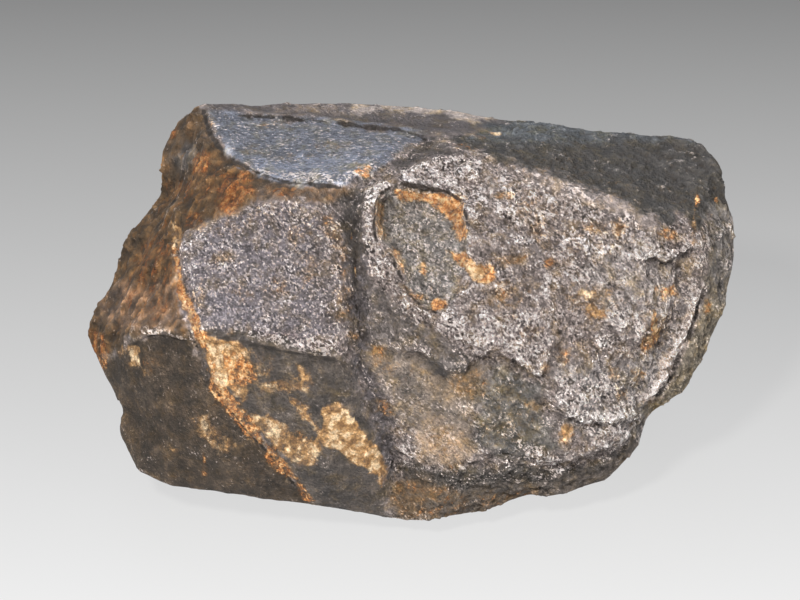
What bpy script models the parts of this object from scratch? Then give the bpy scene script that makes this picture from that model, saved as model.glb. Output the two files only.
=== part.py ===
"""Bismutotantalite specimen: a stout crystal group, broken out of its pegmatite.

It lies on a flat natural break. Its broad side leans back, towards a viewer who looks down at it.
The broad side is drawn as that viewer sees it, in millimetres: across to the right, up the lean,
and out towards the viewer. The hidden side is drawn in the resting frame: X across, Y back, Z up.
"""

import math

import bmesh
import bpy
import numpy as np
from mathutils import Matrix, Vector, noise
from mathutils.geometry import delaunay_2d_cdt

MM = 0.001

# How far the broad side leans back from upright, and how far away its viewer is.
LEAN = math.radians(35)
SIGHT_DISTANCE = 333.0

# The middle of the broad side in the resting frame. The outer box then stands centred over the origin.
MIDDLE = (-0.65, -3.65, 11.0)

# Surface detail: the even mesh that takes the relief, and the triangles that the finished solid keeps.
EVEN_CELL = 0.2
WEAR_ROUNDS = 5
WEAR_ALLOWANCE = 0.12
TRIANGLES = 9200

# The outline of the broad side, clockwise from its top left corner.
OUTLINE = [
    (-9.85, 9.75, -5.0),
    (-7.0, 9.75, -6.2),
    (-4.0, 9.8, -7.0),
    (0.0, 9.7, -7.2),
    (2.5, 9.5, -7.0),
    (5.0, 9.0, -6.5),
    (8.0, 8.6, -6.0),
    (12.0, 8.2, -5.4),
    (14.8, 8.0, -4.6),
    (15.9, 7.0, -3.8),
    (16.1, 5.1, -3.2),
    (16.5, 3.9, -2.8),
    (16.65, 2.3, -2.6),
    (16.25, 0.0, -2.4),
    (15.15, -2.5, -2.2),
    (14.0, -4.5, -2.0),
    (12.25, -5.75, -1.8),
    (11.8, -7.2, -2.2),
    (10.25, -8.9, -2.4),
    (8.0, -9.55, -2.2),
    (6.4, -9.6, -2.0),
    (4.0, -10.5, -1.6),
    (1.5, -10.8, -1.0),
    (-0.4, -10.75, -1.5),
    (-2.0, -10.5, -0.9),
    (-4.75, -10.05, -0.6),
    (-7.0, -9.85, -0.6),
    (-9.25, -9.35, -1.0),
    (-11.75, -9.05, -1.6),
    (-13.1, -8.4, -2.2),
    (-14.0, -6.5, -2.6),
    (-13.7, -5.5, -2.4),
    (-14.6, -4.0, -2.8),
    (-15.5, -2.0, -3.4),
    (-15.4, -1.0, -3.6),
    (-14.4, 0.5, -4.2),
    (-13.4, 3.1, -4.8),
    (-11.9, 5.2, -5.2),
    (-11.6, 7.5, -5.2),
    (-11.0, 8.9, -5.2),
]

# Crystal edges of the broad side. Each is a chain of corners. Where two edges meet, both name the corner.
TOP_FACE = [
    (-9.85, 9.4, -4.6),
    (-5.0, 9.1, -5.2),
    (0.0, 8.5, -4.6),
    (1.4, 8.05, -3.9),
    (-0.5, 7.1, -1.5),
    (-1.8, 6.1, 0.3),
    (-3.0, 5.9, 0.5),
    (-6.25, 6.1, 0.0),
    (-7.9, 6.9, -1.2),
    (-9.35, 8.3, -3.0),
    (-9.85, 9.4, -4.6),
]
LEFT_FACE = [
    (-7.25, 4.85, 1.4),
    (-5.5, 4.9, 1.7),
    (-3.4, 4.6, 1.5),
    (-2.8, 2.0, 2.2),
    (-2.9, -0.5, 2.7),
    (-3.1, -2.9, 3.1),
    (-5.0, -2.4, 3.2),
    (-7.75, -2.05, 2.8),
    (-10.1, -1.75, 2.2),
    (-10.5, -0.5, 1.7),
    (-11.0, 1.5, 1.1),
    (-10.85, 2.65, 0.9),
    (-8.5, 3.9, 1.2),
    (-7.25, 4.85, 1.4),
]
VEIN_EDGE = [
    (-10.1, -1.75, 2.2),
    (-9.4, -4.25, 1.7),
    (-7.75, -6.0, 1.5),
    (-6.25, -7.75, 0.9),
    (-4.75, -10.05, -0.6),
]
LOWER_LEFT_EDGE = [
    (-10.1, -1.75, 2.2),
    (-12.5, -1.5, 0.6),
    (-14.0, -2.25, -1.2),
    (-15.5, -2.0, -3.4),
]
GULLY = [
    (1.4, 8.05, -3.9),
    (0.1, 7.2, -1.6),
    (-1.1, 6.1, 0.1),
    (-2.3, 5.1, 0.4),
    (-2.35, 2.75, 0.8),
    (-2.25, 0.5, 1.3),
    (-2.15, -1.5, 1.6),
    (-2.0, -3.1, 1.7),
    (-1.4, -5.0, 1.0),
    (-0.6, -7.0, 0.1),
    (-0.15, -9.0, -0.7),
    (-0.4, -10.75, -1.5),
]
GULLY_LEFT_LIP = [
    (-3.1, -2.9, 3.1),
    (-2.4, -4.25, 2.3),
    (-1.6, -6.5, 1.4),
    (-0.9, -9.0, 0.2),
]
GULLY_RIGHT_LIP = [
    (2.0, 7.1, -0.7),
    (0.0, 6.4, 0.9),
    (-1.5, 5.5, 1.8),
    (-1.75, 4.25, 2.2),
    (-1.6, 2.75, 2.4),
    (-1.4, 0.5, 2.5),
    (-1.35, -1.25, 2.6),
    (-1.1, -2.6, 2.5),
    (-0.6, -4.6, 2.0),
    (0.3, -6.8, 1.1),
    (0.7, -8.8, 0.1),
]
BACK_SLOPE_EDGE = [
    (1.4, 8.05, -3.9),
    (3.25, 7.9, -3.2),
    (5.25, 7.0, -1.2),
    (7.5, 6.0, -0.2),
    (10.0, 4.75, 0.5),
    (12.5, 3.75, 0.5),
    (14.5, 4.1, -0.8),
    (16.1, 5.1, -3.2),
]
RIGHT_LIP = [
    (14.5, 4.1, -0.8),
    (15.0, 2.5, -0.5),
    (14.6, 0.0, -0.3),
    (13.25, -3.6, -0.2),
    (12.0, -5.25, -0.5),
    (12.25, -5.75, -1.8),
]
FLANK_EDGE = [
    (0.7, -8.8, 0.1),
    (2.6, -8.6, 0.5),
    (5.0, -8.4, 0.6),
    (8.0, -7.7, 0.5),
    (10.0, -6.9, 0.3),
    (12.0, -5.25, -0.5),
]
EDGES = [
    TOP_FACE,
    LEFT_FACE,
    VEIN_EDGE,
    LOWER_LEFT_EDGE,
    GULLY,
    GULLY_LEFT_LIP,
    GULLY_RIGHT_LIP,
    BACK_SLOPE_EDGE,
    RIGHT_LIP,
    FLANK_EDGE,
]

# Single high and low points of the faces between those edges.
SWELLS = [
    (-9.75, 6.75, -1.6),
    (-11.0, 4.75, -1.3),
    (-12.7, 1.0, -1.4),
    (-12.6, -4.5, 0.2),
    (-11.5, -7.0, -0.1),
    (-8.5, -8.0, 0.7),
    (-5.0, -5.8, 2.1),
    (-3.6, -8.3, 1.1),
    (5.0, 3.0, 2.3),
    (8.0, 1.0, 2.5),
    (11.2, 0.0, 1.7),
    (5.0, -1.5, 3.0),
    (8.5, -3.5, 2.2),
    (2.6, -3.6, 2.7),
    (2.25, -6.8, 1.3),
    (5.0, -5.0, 2.2),
]

# The hidden side in the resting frame: the rim of the rest face, and the corners of the walls above it.
REST_DEPTH = -0.4
REST_RIM = [
    (-11.5, -3.1),
    (-4.5, -4.9),
    (1.0, -5.7),
    (6.5, -3.6),
    (9.5, -2.1),
    (10.7, 1.1),
    (7.5, 4.5),
    (-0.5, 6.1),
    (-8.5, 5.1),
    (-12.3, 2.1),
    (-12.8, -0.7),
]
HIDDEN_CORNERS = [
    (-14.4, 3.9, 6.2),
    (-13.8, 1.5, 2.8),
    (-12.1, 7.5, 12.0),
    (-10.4, 7.8, 4.6),
    (-6.5, 8.9, 12.0),
    (-5.1, 8.3, 3.6),
    (0.1, 9.4, 10.4),
    (2.9, 8.2, 3.4),
    (6.5, 8.6, 11.2),
    (8.1, 7.2, 4.8),
    (12.1, 6.9, 11.6),
    (12.7, 4.5, 5.6),
    (14.7, 4.2, 11.4),
    (14.2, 1.5, 5.6),
    (12.5, 0.1, 3.6),
]

# The shallow socket that a lost crystal left below the crest. Its floor rises towards its lower right.
SOCKET = [
    (-0.9, 5.1),
    (0.0, 5.6),
    (1.1, 5.65),
    (2.2, 5.5),
    (2.95, 4.9),
    (3.25, 3.7),
    (3.4, 2.4),
    (3.3, 1.2),
    (2.2, -0.4),
    (1.3, -0.1),
    (0.4, 0.8),
    (0.0, 2.0),
    (-0.8, 3.0),
    (-1.05, 4.0),
]
SOCKET_DEPTH = 0.55
SOCKET_WALL = 0.3
SOCKET_FADE_START = (0.6, 3.6)
SOCKET_FADE_END = (2.9, 0.4)
SOCKET_FADED_DEPTH = 0.15

# Steps in the surface: a line that runs along the step's foot with the high ground on its left hand,
# how high the step is, how far behind its edge the high ground has sunk back, and how wide its face is.
LEDGES = [
    (
        [
            (-1.2, -2.2),
            (0.0, -2.5),
            (1.4, -2.7),
            (2.0, -3.3),
            (2.9, -3.8),
            (3.4, -3.1),
            (4.3, -2.6),
            (5.3, -2.8),
            (6.1, -3.2),
            (6.8, -3.7),
            (7.3, -3.1),
            (7.8, -2.2),
        ],
        0.42,
        2.2,
        0.22,
    ),
    ([(6.6, -4.5), (8.0, -5.4), (9.1, -5.9), (10.2, -6.1), (11.6, -5.8)], 0.45, 1.4, 0.25),
    ([(3.4, -8.0), (5.2, -7.5), (7.4, -7.9), (9.4, -7.7), (11.2, -6.9)], 0.4, 1.5, 0.3),
    ([(11.6, 2.2), (12.6, 2.0), (13.6, 1.95), (14.1, 2.3), (14.9, 2.6)], 0.3, 1.2, 0.18),
    ([(9.6, -0.7), (10.3, -1.2), (11.2, -2.0), (11.9, -2.1), (12.4, -1.2)], 0.26, 0.9, 0.18),
    ([(-13.4, -2.3), (-12.7, -1.75), (-11.6, -1.7), (-10.3, -1.95)], 0.34, 0.8, 0.2),
    ([(-10.0, -1.95), (-7.8, -2.2), (-5.0, -2.55), (-3.1, -3.05)], 0.2, 0.7, 0.18),
    ([(4.6, 4.2), (5.6, 4.0), (6.4, 4.3), (7.0, 4.0), (7.9, 3.9)], 0.24, 1.0, 0.18),
    ([(7.6, 1.9), (8.6, 1.6), (9.4, 1.9), (10.6, 2.2)], 0.24, 0.9, 0.18),
    ([(-14.2, 1.0), (-13.0, 3.6), (-11.6, 6.0), (-10.6, 8.4)], 0.3, 0.9, 0.3),
]

# Past both ends of its line a step dies away, and the low ground is scooped out a little along its foot.
LEDGE_RUN_OUT = (-0.4, 0.6)
LEDGE_SCOOP = 0.35

# Furrows: a line, how deep it is and how wide. The first is the crack that the vein fills.
FURROWS = [
    ([(-11.1, 3.8), (-11.2, 2.4), (-10.7, 0.5), (-10.35, -1.0), (-10.0, -2.2)], 0.22, 0.3),
    ([(-9.4, -4.2), (-7.9, -5.8), (-6.4, -7.4), (-5.0, -9.6)], 0.14, 0.3),
    ([(14.2, 1.4), (13.9, -0.6), (13.0, -2.8), (12.1, -4.4)], 0.35, 0.45),
    ([(-1.5, 6.0), (-0.7, 6.25), (0.2, 6.9), (1.1, 7.6)], 0.3, 0.5),
    ([(-10.5, 8.2), (-11.5, 5.6), (-12.6, 3.0), (-14.0, 0.0)], 0.22, 0.4),
    ([(-9.9, 6.2), (-10.8, 4.6), (-12.0, 1.8), (-13.2, -1.0)], 0.18, 0.35),
    ([(-7.2, 9.5), (-4.0, 9.3), (0.0, 8.95), (3.0, 8.5), (5.8, 8.1)], 0.22, 0.22),
]

# Roughness: how high, and the size of its lumps. The broad crystal faces keep a share of it.
LUMPS = (0.3, 3.4)
KNOBS = (0.13, 1.1)
SMOOTH_SHARE = 0.35
FACE_FEATHER = 0.8

# It is less where the surface is edge-on to the viewer, and dies away towards the rest face.
EDGE_ON_SHARE = 0.35
EDGE_ON_TURN = (0.0, 0.45)
REST_FACE_CLEARANCE = (0.2, 1.5)

# What is carved into the broad side dies away where the surface turns from the viewer.
CARVED_TURN = (0.0, 0.3)

MINERAL_COLOUR = (0.16, 0.14, 0.13, 1.0)
MINERAL_ROUGHNESS = 0.5
MINERAL_METALLIC = 0.35


def clear_scene():
    for obj in list(bpy.data.objects):
        bpy.data.objects.remove(obj)


def resting(across, up, out):
    """The place in the resting frame of a point of the broad side, on the viewer's line of sight."""
    spread = 1 - out / SIGHT_DISTANCE
    rise = up * spread
    y = rise * math.sin(LEAN) - out * math.cos(LEAN)
    z = rise * math.cos(LEAN) + out * math.sin(LEAN)
    return Vector((across * spread, y, z)) + Vector(MIDDLE)


def as_seen(points):
    """Across, up and out of points in the resting frame, as rows of an array."""
    x, y, z = (np.asarray(points, float) - MIDDLE).T
    up = z * math.cos(LEAN) + y * math.sin(LEAN)
    out = z * math.sin(LEAN) - y * math.cos(LEAN)
    spread = 1 - out / SIGHT_DISTANCE
    return np.column_stack([x / spread, up / spread, out])


def sheet(outline, chains, singles, places):
    """Triangles over the outline, as seen by the viewer, that keep every chain as an edge.

    places holds the true place of each corner as seen, and the triangles name corners by it."""
    corners = []
    lookup = {}

    def index_of(corner):
        key = (round(corner[0], 3), round(corner[1], 3))
        if key not in lookup:
            lookup[key] = len(corners)
            corners.append(key)
        return lookup[key]

    edges = []
    loops = [outline + outline[:1], *chains]
    for loop in loops:
        ids = [index_of(corner) for corner in loop]
        edges += list(zip(ids[:-1], ids[1:]))
    for corner in singles:
        index_of(corner)
    flat = [Vector(corner) for corner in corners]
    inside_only = 1
    _, _, faces, origins, _, _ = delaunay_2d_cdt(flat, edges, [], inside_only, 1e-5)
    if any(len(origin) != 1 for origin in origins):
        raise ValueError("two crystal edges cross between their corners")
    return [[places[corners[origins[i][0]]] for i in face] for face in faces]


def cage():
    """The crystal with flat faces and keen edges, closed, in millimetres."""
    rest_rim = [(x, y, REST_DEPTH) for x, y in REST_RIM]
    hidden = as_seen(rest_rim + HIDDEN_CORNERS)
    places = {}
    for corner in OUTLINE + sum(EDGES, []) + SWELLS:
        places[(round(corner[0], 3), round(corner[1], 3))] = resting(*corner)
    for corner, place in zip(hidden, rest_rim + HIDDEN_CORNERS):
        places[(round(corner[0], 3), round(corner[1], 3))] = Vector(place)
    rest_loop = [tuple(corner) for corner in hidden[: len(rest_rim)]]
    walls = [tuple(corner) for corner in hidden[len(rest_rim) :]]
    front = sheet(OUTLINE, EDGES, SWELLS, places)
    back = sheet(OUTLINE, [rest_loop + rest_loop[:1]], walls, places)

    mesh = bmesh.new()
    verts = {}
    for face in front + back:
        for place in face:
            if tuple(place) not in verts:
                verts[tuple(place)] = mesh.verts.new(place)
        mesh.faces.new([verts[tuple(place)] for place in face])
    bmesh.ops.recalc_face_normals(mesh, faces=mesh.faces)
    return mesh


def distance_to_line(points, line):
    """Distance of each point to a chain of straight runs, and +1 where it lies on the chain's left hand."""
    nearest = np.full(len(points), np.inf)
    side = np.ones(len(points))
    for start, end in zip(np.array(line[:-1], float), np.array(line[1:], float)):
        run = end - start
        along = np.clip(((points - start) @ run) / (run @ run), 0, 1)
        away = points - (start + along[:, None] * run)
        distance = np.hypot(away[:, 0], away[:, 1])
        closer = distance < nearest
        nearest = np.where(closer, distance, nearest)
        turn = run[0] * (points[:, 1] - start[1]) - run[1] * (points[:, 0] - start[0])
        side = np.where(closer, np.sign(turn), side)
    return nearest, side


def inside(points, outline):
    """True for each point inside a closed outline."""
    within = np.zeros(len(points), bool)
    loop = np.array(outline, float)
    for (x0, y0), (x1, y1) in zip(loop, np.roll(loop, -1, axis=0)):
        crosses = (y0 > points[:, 1]) != (y1 > points[:, 1])
        reach = x0 + (points[:, 1] - y0) * (x1 - x0) / (y1 - y0 + 1e-12)
        within ^= crosses & (points[:, 0] < reach)
    return within


def smooth_step(low, high, value):
    t = np.clip((value - low) / (high - low), 0, 1)
    return t * t * (3 - 2 * t)


def depth_inside(points, outline):
    """How far each point lies inside a closed outline, negative outside it."""
    closed = [corner[:2] for corner in outline] + [outline[0][:2]]
    distance, _ = distance_to_line(points, closed)
    return np.where(inside(points, closed[:-1]), distance, -distance)


def ledge_height(points, line, height, reach, face):
    distance, side = distance_to_line(points, line)
    signed = distance * side
    start, end = np.array(line[0], float), np.array(line[-1], float)
    run = (end - start) / np.linalg.norm(end - start)
    along = (points - start) @ run
    length = np.linalg.norm(end - start)
    ends = smooth_step(*LEDGE_RUN_OUT, along) * smooth_step(*LEDGE_RUN_OUT, length - along)
    rise = smooth_step(-face, face, signed)
    sink = np.exp(-np.maximum(signed, 0) / reach)
    scoop = LEDGE_SCOOP * np.exp(-2 * np.maximum(-signed, 0) / reach)
    return height * ends * (rise * sink - (1 - rise) * scoop)


def furrow_height(points, line, depth, width):
    distance, _ = distance_to_line(points, line)
    return -depth * np.exp(-((distance / width) ** 2))


def socket_height(points):
    start, end = np.array(SOCKET_FADE_START), np.array(SOCKET_FADE_END)
    along = ((points - start) @ (end - start)) / ((end - start) @ (end - start))
    wall = smooth_step(0, SOCKET_WALL, depth_inside(points, SOCKET))
    faded = smooth_step(0, 1, along)
    return -SOCKET_DEPTH * wall * (1 - (1 - SOCKET_FADED_DEPTH) * faded)


def noise_height(places, height, size, seed):
    """Rounded lumps of the given height and size, one value for each place."""
    shift = Vector((seed * 17.3, seed * 5.1, seed * 9.7))
    return np.array([height * noise.noise(Vector(place) / size + shift) for place in places])


def carving(seen):
    """How far the socket, steps and furrows raise the broad side at each place as seen."""
    carved = socket_height(seen)
    for line, height, reach, face in LEDGES:
        carved += ledge_height(seen, line, height, reach, face)
    for line, depth, width in FURROWS:
        carved += furrow_height(seen, line, depth, width)
    return carved


def relief(places, normals):
    """How far the surface stands out from the cage along its normal at each place, in millimetres."""
    seen = as_seen(places)[:, :2]
    turn = normals @ np.array((0, -math.cos(LEAN), math.sin(LEAN)))
    facing = smooth_step(*CARVED_TURN, turn)
    flat_faces = np.maximum(depth_inside(seen, TOP_FACE[:-1]), depth_inside(seen, LEFT_FACE[:-1]))
    polish = facing * smooth_step(0, FACE_FEATHER, flat_faces)
    edge_on = 1 - smooth_step(*EDGE_ON_TURN, np.abs(turn))
    roughness = noise_height(places, *LUMPS, seed=1) + noise_height(places, *KNOBS, seed=2)
    roughness *= 1 - (1 - SMOOTH_SHARE) * polish
    roughness *= 1 - (1 - EDGE_ON_SHARE) * edge_on
    roughness *= smooth_step(*REST_FACE_CLEARANCE, places[:, 2])
    return WEAR_ALLOWANCE + facing * carving(seen) + roughness


def apply_modifiers(obj):
    graph = bpy.context.evaluated_depsgraph_get()
    obj.data = bpy.data.meshes.new_from_object(obj.evaluated_get(graph), depsgraph=graph)
    obj.modifiers.clear()


def even_surface(obj):
    """Gives the object an even fine mesh with slightly worn edges."""
    remesh = obj.modifiers.new("even mesh", "REMESH")
    remesh.mode = "VOXEL"
    remesh.voxel_size = EVEN_CELL
    wear = obj.modifiers.new("worn edges", "SMOOTH")
    wear.iterations = WEAR_ROUNDS
    apply_modifiers(obj)


def add_relief(obj):
    mesh = obj.data
    count = len(mesh.vertices)
    places = np.empty(count * 3)
    normals = np.empty(count * 3)
    mesh.vertices.foreach_get("co", places)
    mesh.vertex_normals.foreach_get("vector", normals)
    places, normals = places.reshape(-1, 3), normals.reshape(-1, 3)
    places = places + normals * relief(places, normals)[:, None]
    mesh.vertices.foreach_set("co", places.ravel())
    mesh.update()


def thin_out(obj):
    """Keeps the triangles where the surface bends most."""
    obj.data.calc_loop_triangles()
    decimate = obj.modifiers.new("thin out", "DECIMATE")
    decimate.ratio = TRIANGLES / len(obj.data.loop_triangles)
    decimate.use_collapse_triangulate = True
    apply_modifiers(obj)


def cut_rest_face(obj):
    """Cuts the flat break that the specimen lies on, at height zero."""
    mesh = bmesh.new()
    mesh.from_mesh(obj.data)
    everything = mesh.verts[:] + mesh.edges[:] + mesh.faces[:]
    cut = bmesh.ops.bisect_plane(
        mesh, geom=everything, plane_co=(0, 0, 0), plane_no=(0, 0, 1), clear_inner=True
    )
    border = [item for item in cut["geom_cut"] if isinstance(item, bmesh.types.BMEdge)]
    bmesh.ops.edgeloop_fill(mesh, edges=border)
    bmesh.ops.recalc_face_normals(mesh, faces=mesh.faces)
    bmesh.ops.triangulate(mesh, faces=mesh.faces)
    mesh.to_mesh(obj.data)
    mesh.free()


def mineral_material():
    material = bpy.data.materials.new("bismutotantalite")
    material.use_nodes = True
    shader = material.node_tree.nodes["Principled BSDF"]
    shader.inputs["Base Color"].default_value = MINERAL_COLOUR
    shader.inputs["Roughness"].default_value = MINERAL_ROUGHNESS
    shader.inputs["Metallic"].default_value = MINERAL_METALLIC
    return material


def crystal_group():
    mesh = bpy.data.meshes.new("crystal_group")
    faceted = cage()
    faceted.to_mesh(mesh)
    faceted.free()
    obj = bpy.data.objects.new("crystal_group", mesh)
    bpy.context.scene.collection.objects.link(obj)
    even_surface(obj)
    add_relief(obj)
    thin_out(obj)
    cut_rest_face(obj)
    obj.data.transform(Matrix.Scale(MM, 4))
    obj.data.materials.append(mineral_material())
    obj.data.shade_smooth()


def main():
    clear_scene()
    crystal_group()


main()
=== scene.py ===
"""Bismutotantalite specimen: the finish of the crystal group, with its floor, light and camera.

The solid's surface is remeshed finely, carved with the small relief of each crystal face and crust, and
given masks for its tones and stains. Places on the broad side are written in pixels of an 800 by 600
picture of it, at 20 pixels to the millimetre, and turned into millimetres by from_photo.
"""

import itertools
import math

import bpy
import numpy as np
from mathutils import Matrix, Vector, noise


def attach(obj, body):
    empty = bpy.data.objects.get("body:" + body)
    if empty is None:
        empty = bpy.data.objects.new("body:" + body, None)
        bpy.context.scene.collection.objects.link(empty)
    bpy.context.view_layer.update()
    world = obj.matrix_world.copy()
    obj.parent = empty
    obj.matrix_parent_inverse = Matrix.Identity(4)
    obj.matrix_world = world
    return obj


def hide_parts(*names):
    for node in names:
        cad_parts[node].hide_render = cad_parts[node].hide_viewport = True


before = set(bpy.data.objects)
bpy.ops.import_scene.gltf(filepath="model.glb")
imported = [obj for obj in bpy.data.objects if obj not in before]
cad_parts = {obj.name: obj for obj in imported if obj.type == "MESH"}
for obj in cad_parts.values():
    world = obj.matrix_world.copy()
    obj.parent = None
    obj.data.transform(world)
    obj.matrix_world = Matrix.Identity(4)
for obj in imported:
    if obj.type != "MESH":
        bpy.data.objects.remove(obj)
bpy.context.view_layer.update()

MM = 0.001

# The view of the broad side: how far it leans back, how far away its viewer is, the middle of the view
# in the resting frame, and the scale of the picture. Sizes are in millimetres.
LEAN = math.radians(35)
SIGHT_DISTANCE = 333.0
MIDDLE = (-0.65, -3.65, 11.0)
PICTURE_MIDDLE = (400, 300)
PIXEL = 0.05
LENS = 300.0
SENSOR = 36.0

# The fine mesh: its cell, how much its edges are worn, and the triangles that it keeps.
EVEN_CELL = 0.1
WEAR_ROUNDS = 3
TRIANGLES = 192000

# A surface counts as part of the broad side once it turns this much towards the viewer.
FACING_TURN = (-0.02, 0.14)

# Near its outline the piece is worn smoother and duller, where the surface turns less than this.
RIM_TURN = 0.25
RIM_WEAR = 0.85
RIM_DULL = 0.75

# The main faces of the broad side, as outlines.
TOP_FACE = [
    (203, 112), (300, 118), (400, 130), (428, 139), (390, 158), (364, 178), (340, 182), (275, 178),
    (242, 162), (213, 134),
]
TOP_STRIP = [
    (190, 92), (330, 92), (480, 98), (522, 118), (470, 135), (428, 139), (400, 130), (300, 118), (203, 112),
]
LEFT_SIDE = [
    (205, 95), (160, 105), (95, 255), (75, 330), (92, 365), (125, 345), (150, 330), (190, 335), (182, 300),
    (176, 250), (180, 236), (200, 224), (230, 213), (260, 202), (340, 202), (352, 186), (340, 182),
    (275, 178), (242, 162), (213, 134), (203, 112),
]
LEFT_FACE = [
    (182, 248), (200, 228), (230, 216), (258, 203), (290, 202), (322, 205), (334, 215), (341, 235),
    (337, 258), (346, 282), (338, 308), (344, 330), (338, 350), (300, 346), (262, 334), (240, 332),
    (205, 330), (190, 325), (184, 300), (178, 270),
]
VEIN_COURSE = [(200, 355), (212, 385), (228, 405), (245, 425), (270, 450), (290, 478), (312, 500)]
LOWER_LEFT_FACE = [
    (90, 365), (125, 345), (150, 332), (190, 337), *VEIN_COURSE, (300, 535), (120, 505), (95, 430),
]
LOWER_MIDDLE_FACE = [
    (205, 330), (240, 332), (262, 334), (300, 346), (338, 350), (352, 362), (362, 385), (375, 430),
    (388, 470), (392, 510), (380, 535), *reversed(VEIN_COURSE), (195, 335),
]
SOCKET = [
    (380, 192), (395, 186), (415, 188), (440, 192), (458, 200), (463, 220), (467, 240), (466, 254),
    (480, 263), (490, 269), (486, 278), (474, 279), (464, 274), (460, 290), (450, 305), (440, 312),
    (428, 308), (415, 300), (405, 290), (402, 270), (392, 252), (380, 240), (376, 225), (377, 205),
]
BACK_SLOPE = [
    (430, 138), (470, 135), (522, 118), (705, 125), (745, 200), (742, 216), (724, 222), (708, 214),
    (700, 232), (688, 222), (676, 214), (668, 230), (652, 218), (640, 229), (629, 210), (612, 216),
    (601, 199), (586, 208), (574, 189), (556, 193), (545, 176), (528, 181), (515, 163), (500, 168),
    (486, 151), (462, 148),
]

# The gully between the two crystals, as a line.
GULLY = [
    (428, 139), (402, 156), (378, 178), (354, 196), (352, 245), (354, 290), (354, 325), (358, 352),
    (368, 385), (380, 425), (392, 455), (396, 480), (392, 515),
]

# Parts of the left side and of the left faces that have a tone of their own.
BAND = [(262, 183), (345, 184), (350, 197), (300, 202), (258, 202)]
SIDE_TOP = [(190, 95), (212, 108), (214, 140), (200, 160), (160, 180), (150, 130)]
SIDE_GREY = [(184, 142), (202, 148), (196, 164), (182, 172), (174, 160)]
SIDE_LOW = [(112, 285), (175, 280), (182, 322), (130, 332), (104, 320)]
STRIP_START = [(276, 109), (310, 106), (350, 104), (350, 111), (310, 113), (276, 114)]
STRIP_BAND = [(350, 104), (480, 107), (515, 116), (470, 120), (400, 113), (350, 110)]
TOP_FACE_LOW = [(244, 160), (300, 157), (350, 158), (390, 150), (364, 182), (340, 186), (275, 182)]
LEFT_FACE_BROWN = [(318, 205), (344, 215), (346, 335), (322, 330), (312, 270)]
LEFT_FACE_PALE = [(196, 285), (250, 296), (270, 326), (215, 322)]
LEFT_FACE_RIM = [
    (246, 329), (270, 332), (300, 337), (338, 342), (342, 352), (310, 351), (280, 344), (250, 337),
]

# The same for the crust, and for what lies below it and behind it. The gully's banks and the top of the bank
# are darker as painted shade of the gully.
CREST_SHADE = [
    (356, 255), (366, 250), (374, 276), (392, 300), (410, 318), (434, 330), (456, 346), (466, 374),
    (446, 368), (428, 354), (400, 348), (372, 344), (356, 325),
]
CREST_TONE = [
    (462, 158), (482, 172), (492, 200), (480, 226), (468, 215), (460, 200), (440, 190), (418, 187),
    (402, 180), (385, 186), (372, 200), (372, 235), (380, 255), (392, 275), (392, 290), (372, 280),
    (362, 250), (362, 200), (384, 176), (420, 162),
]
CREST_EDGE = [
    (384, 174), (400, 157), (428, 141), (462, 147), (456, 156), (430, 159), (412, 165), (396, 175),
]
GULLY_BANKS = [
    (345, 200), (362, 196), (364, 240), (366, 290), (368, 325), (378, 360), (392, 420), (400, 480),
    (384, 480), (372, 430), (358, 380), (348, 340), (342, 290), (342, 240),
]
BANK_TOP = [(340, 196), (354, 188), (368, 192), (365, 212), (364, 236), (366, 252), (352, 264), (342, 250)]
CRUST_LOW = [(436, 318), (545, 306), (552, 345), (530, 366), (500, 350), (472, 350), (450, 338)]
CRUST_RIGHT = [(556, 372), (640, 360), (690, 300), (704, 300), (655, 400), (632, 436), (570, 430)]
CRUST_PALE = [(590, 240), (650, 232), (684, 262), (684, 300), (655, 325), (612, 330), (588, 290)]
CRUST_TOP = [(480, 165), (560, 180), (640, 215), (600, 235), (540, 225), (490, 215)]
LEDGE_TIP = [(428, 352), (440, 356), (452, 358), (468, 360), (472, 374), (464, 380), (446, 374), (430, 364)]
TAN_PATCH = [
    (372, 345), (400, 347), (430, 355), (445, 370), (460, 376), (480, 360), (492, 366), (480, 385),
    (482, 402), (472, 420), (470, 455), (455, 465), (430, 463), (418, 452), (414, 430), (400, 415),
    (385, 400), (376, 385), (370, 365),
]
TAN_RIGHT = [(434, 366), (478, 362), (484, 400), (446, 404), (430, 392)]
TAN_LOWER = [(418, 432), (440, 420), (464, 428), (476, 444), (470, 460), (440, 465), (420, 458)]
OLIVE = [(478, 378), (500, 366), (540, 384), (540, 410), (556, 430), (560, 450), (500, 458), (474, 440)]
FLANK = [
    (392, 515), (402, 462), (430, 470), (470, 466), (510, 462), (550, 468), (590, 462), (625, 442),
    (640, 418), (700, 425), (640, 525), (500, 545), (380, 545),
]
LOWER_RIM = [
    (420, 500), (470, 484), (540, 482), (600, 466), (640, 436), (650, 446), (630, 470), (590, 494),
    (540, 504), (480, 516), (430, 526),
]
BOTTOM_TIP = [(394, 474), (425, 478), (470, 494), (480, 520), (400, 525), (386, 500)]
RIGHT_EDGE = [
    (704, 250), (745, 230), (745, 330), (705, 400), (655, 425), (642, 410), (668, 384), (690, 332),
    (703, 296),
]
LIP = [(697, 290), (706, 294), (690, 335), (672, 372), (655, 396), (644, 402), (662, 366), (680, 328)]
SLOPE_TOP = [(470, 136), (522, 112), (640, 116), (704, 124), (698, 136), (610, 140), (520, 143)]
SLOPE_RIGHT = [(704, 222), (716, 205), (735, 215), (740, 270), (722, 300), (706, 298), (708, 260)]
SLOPE_FOOT = [
    (520, 168), (560, 180), (600, 192), (650, 214), (660, 226), (640, 228), (600, 210), (560, 196),
    (520, 180),
]

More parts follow.
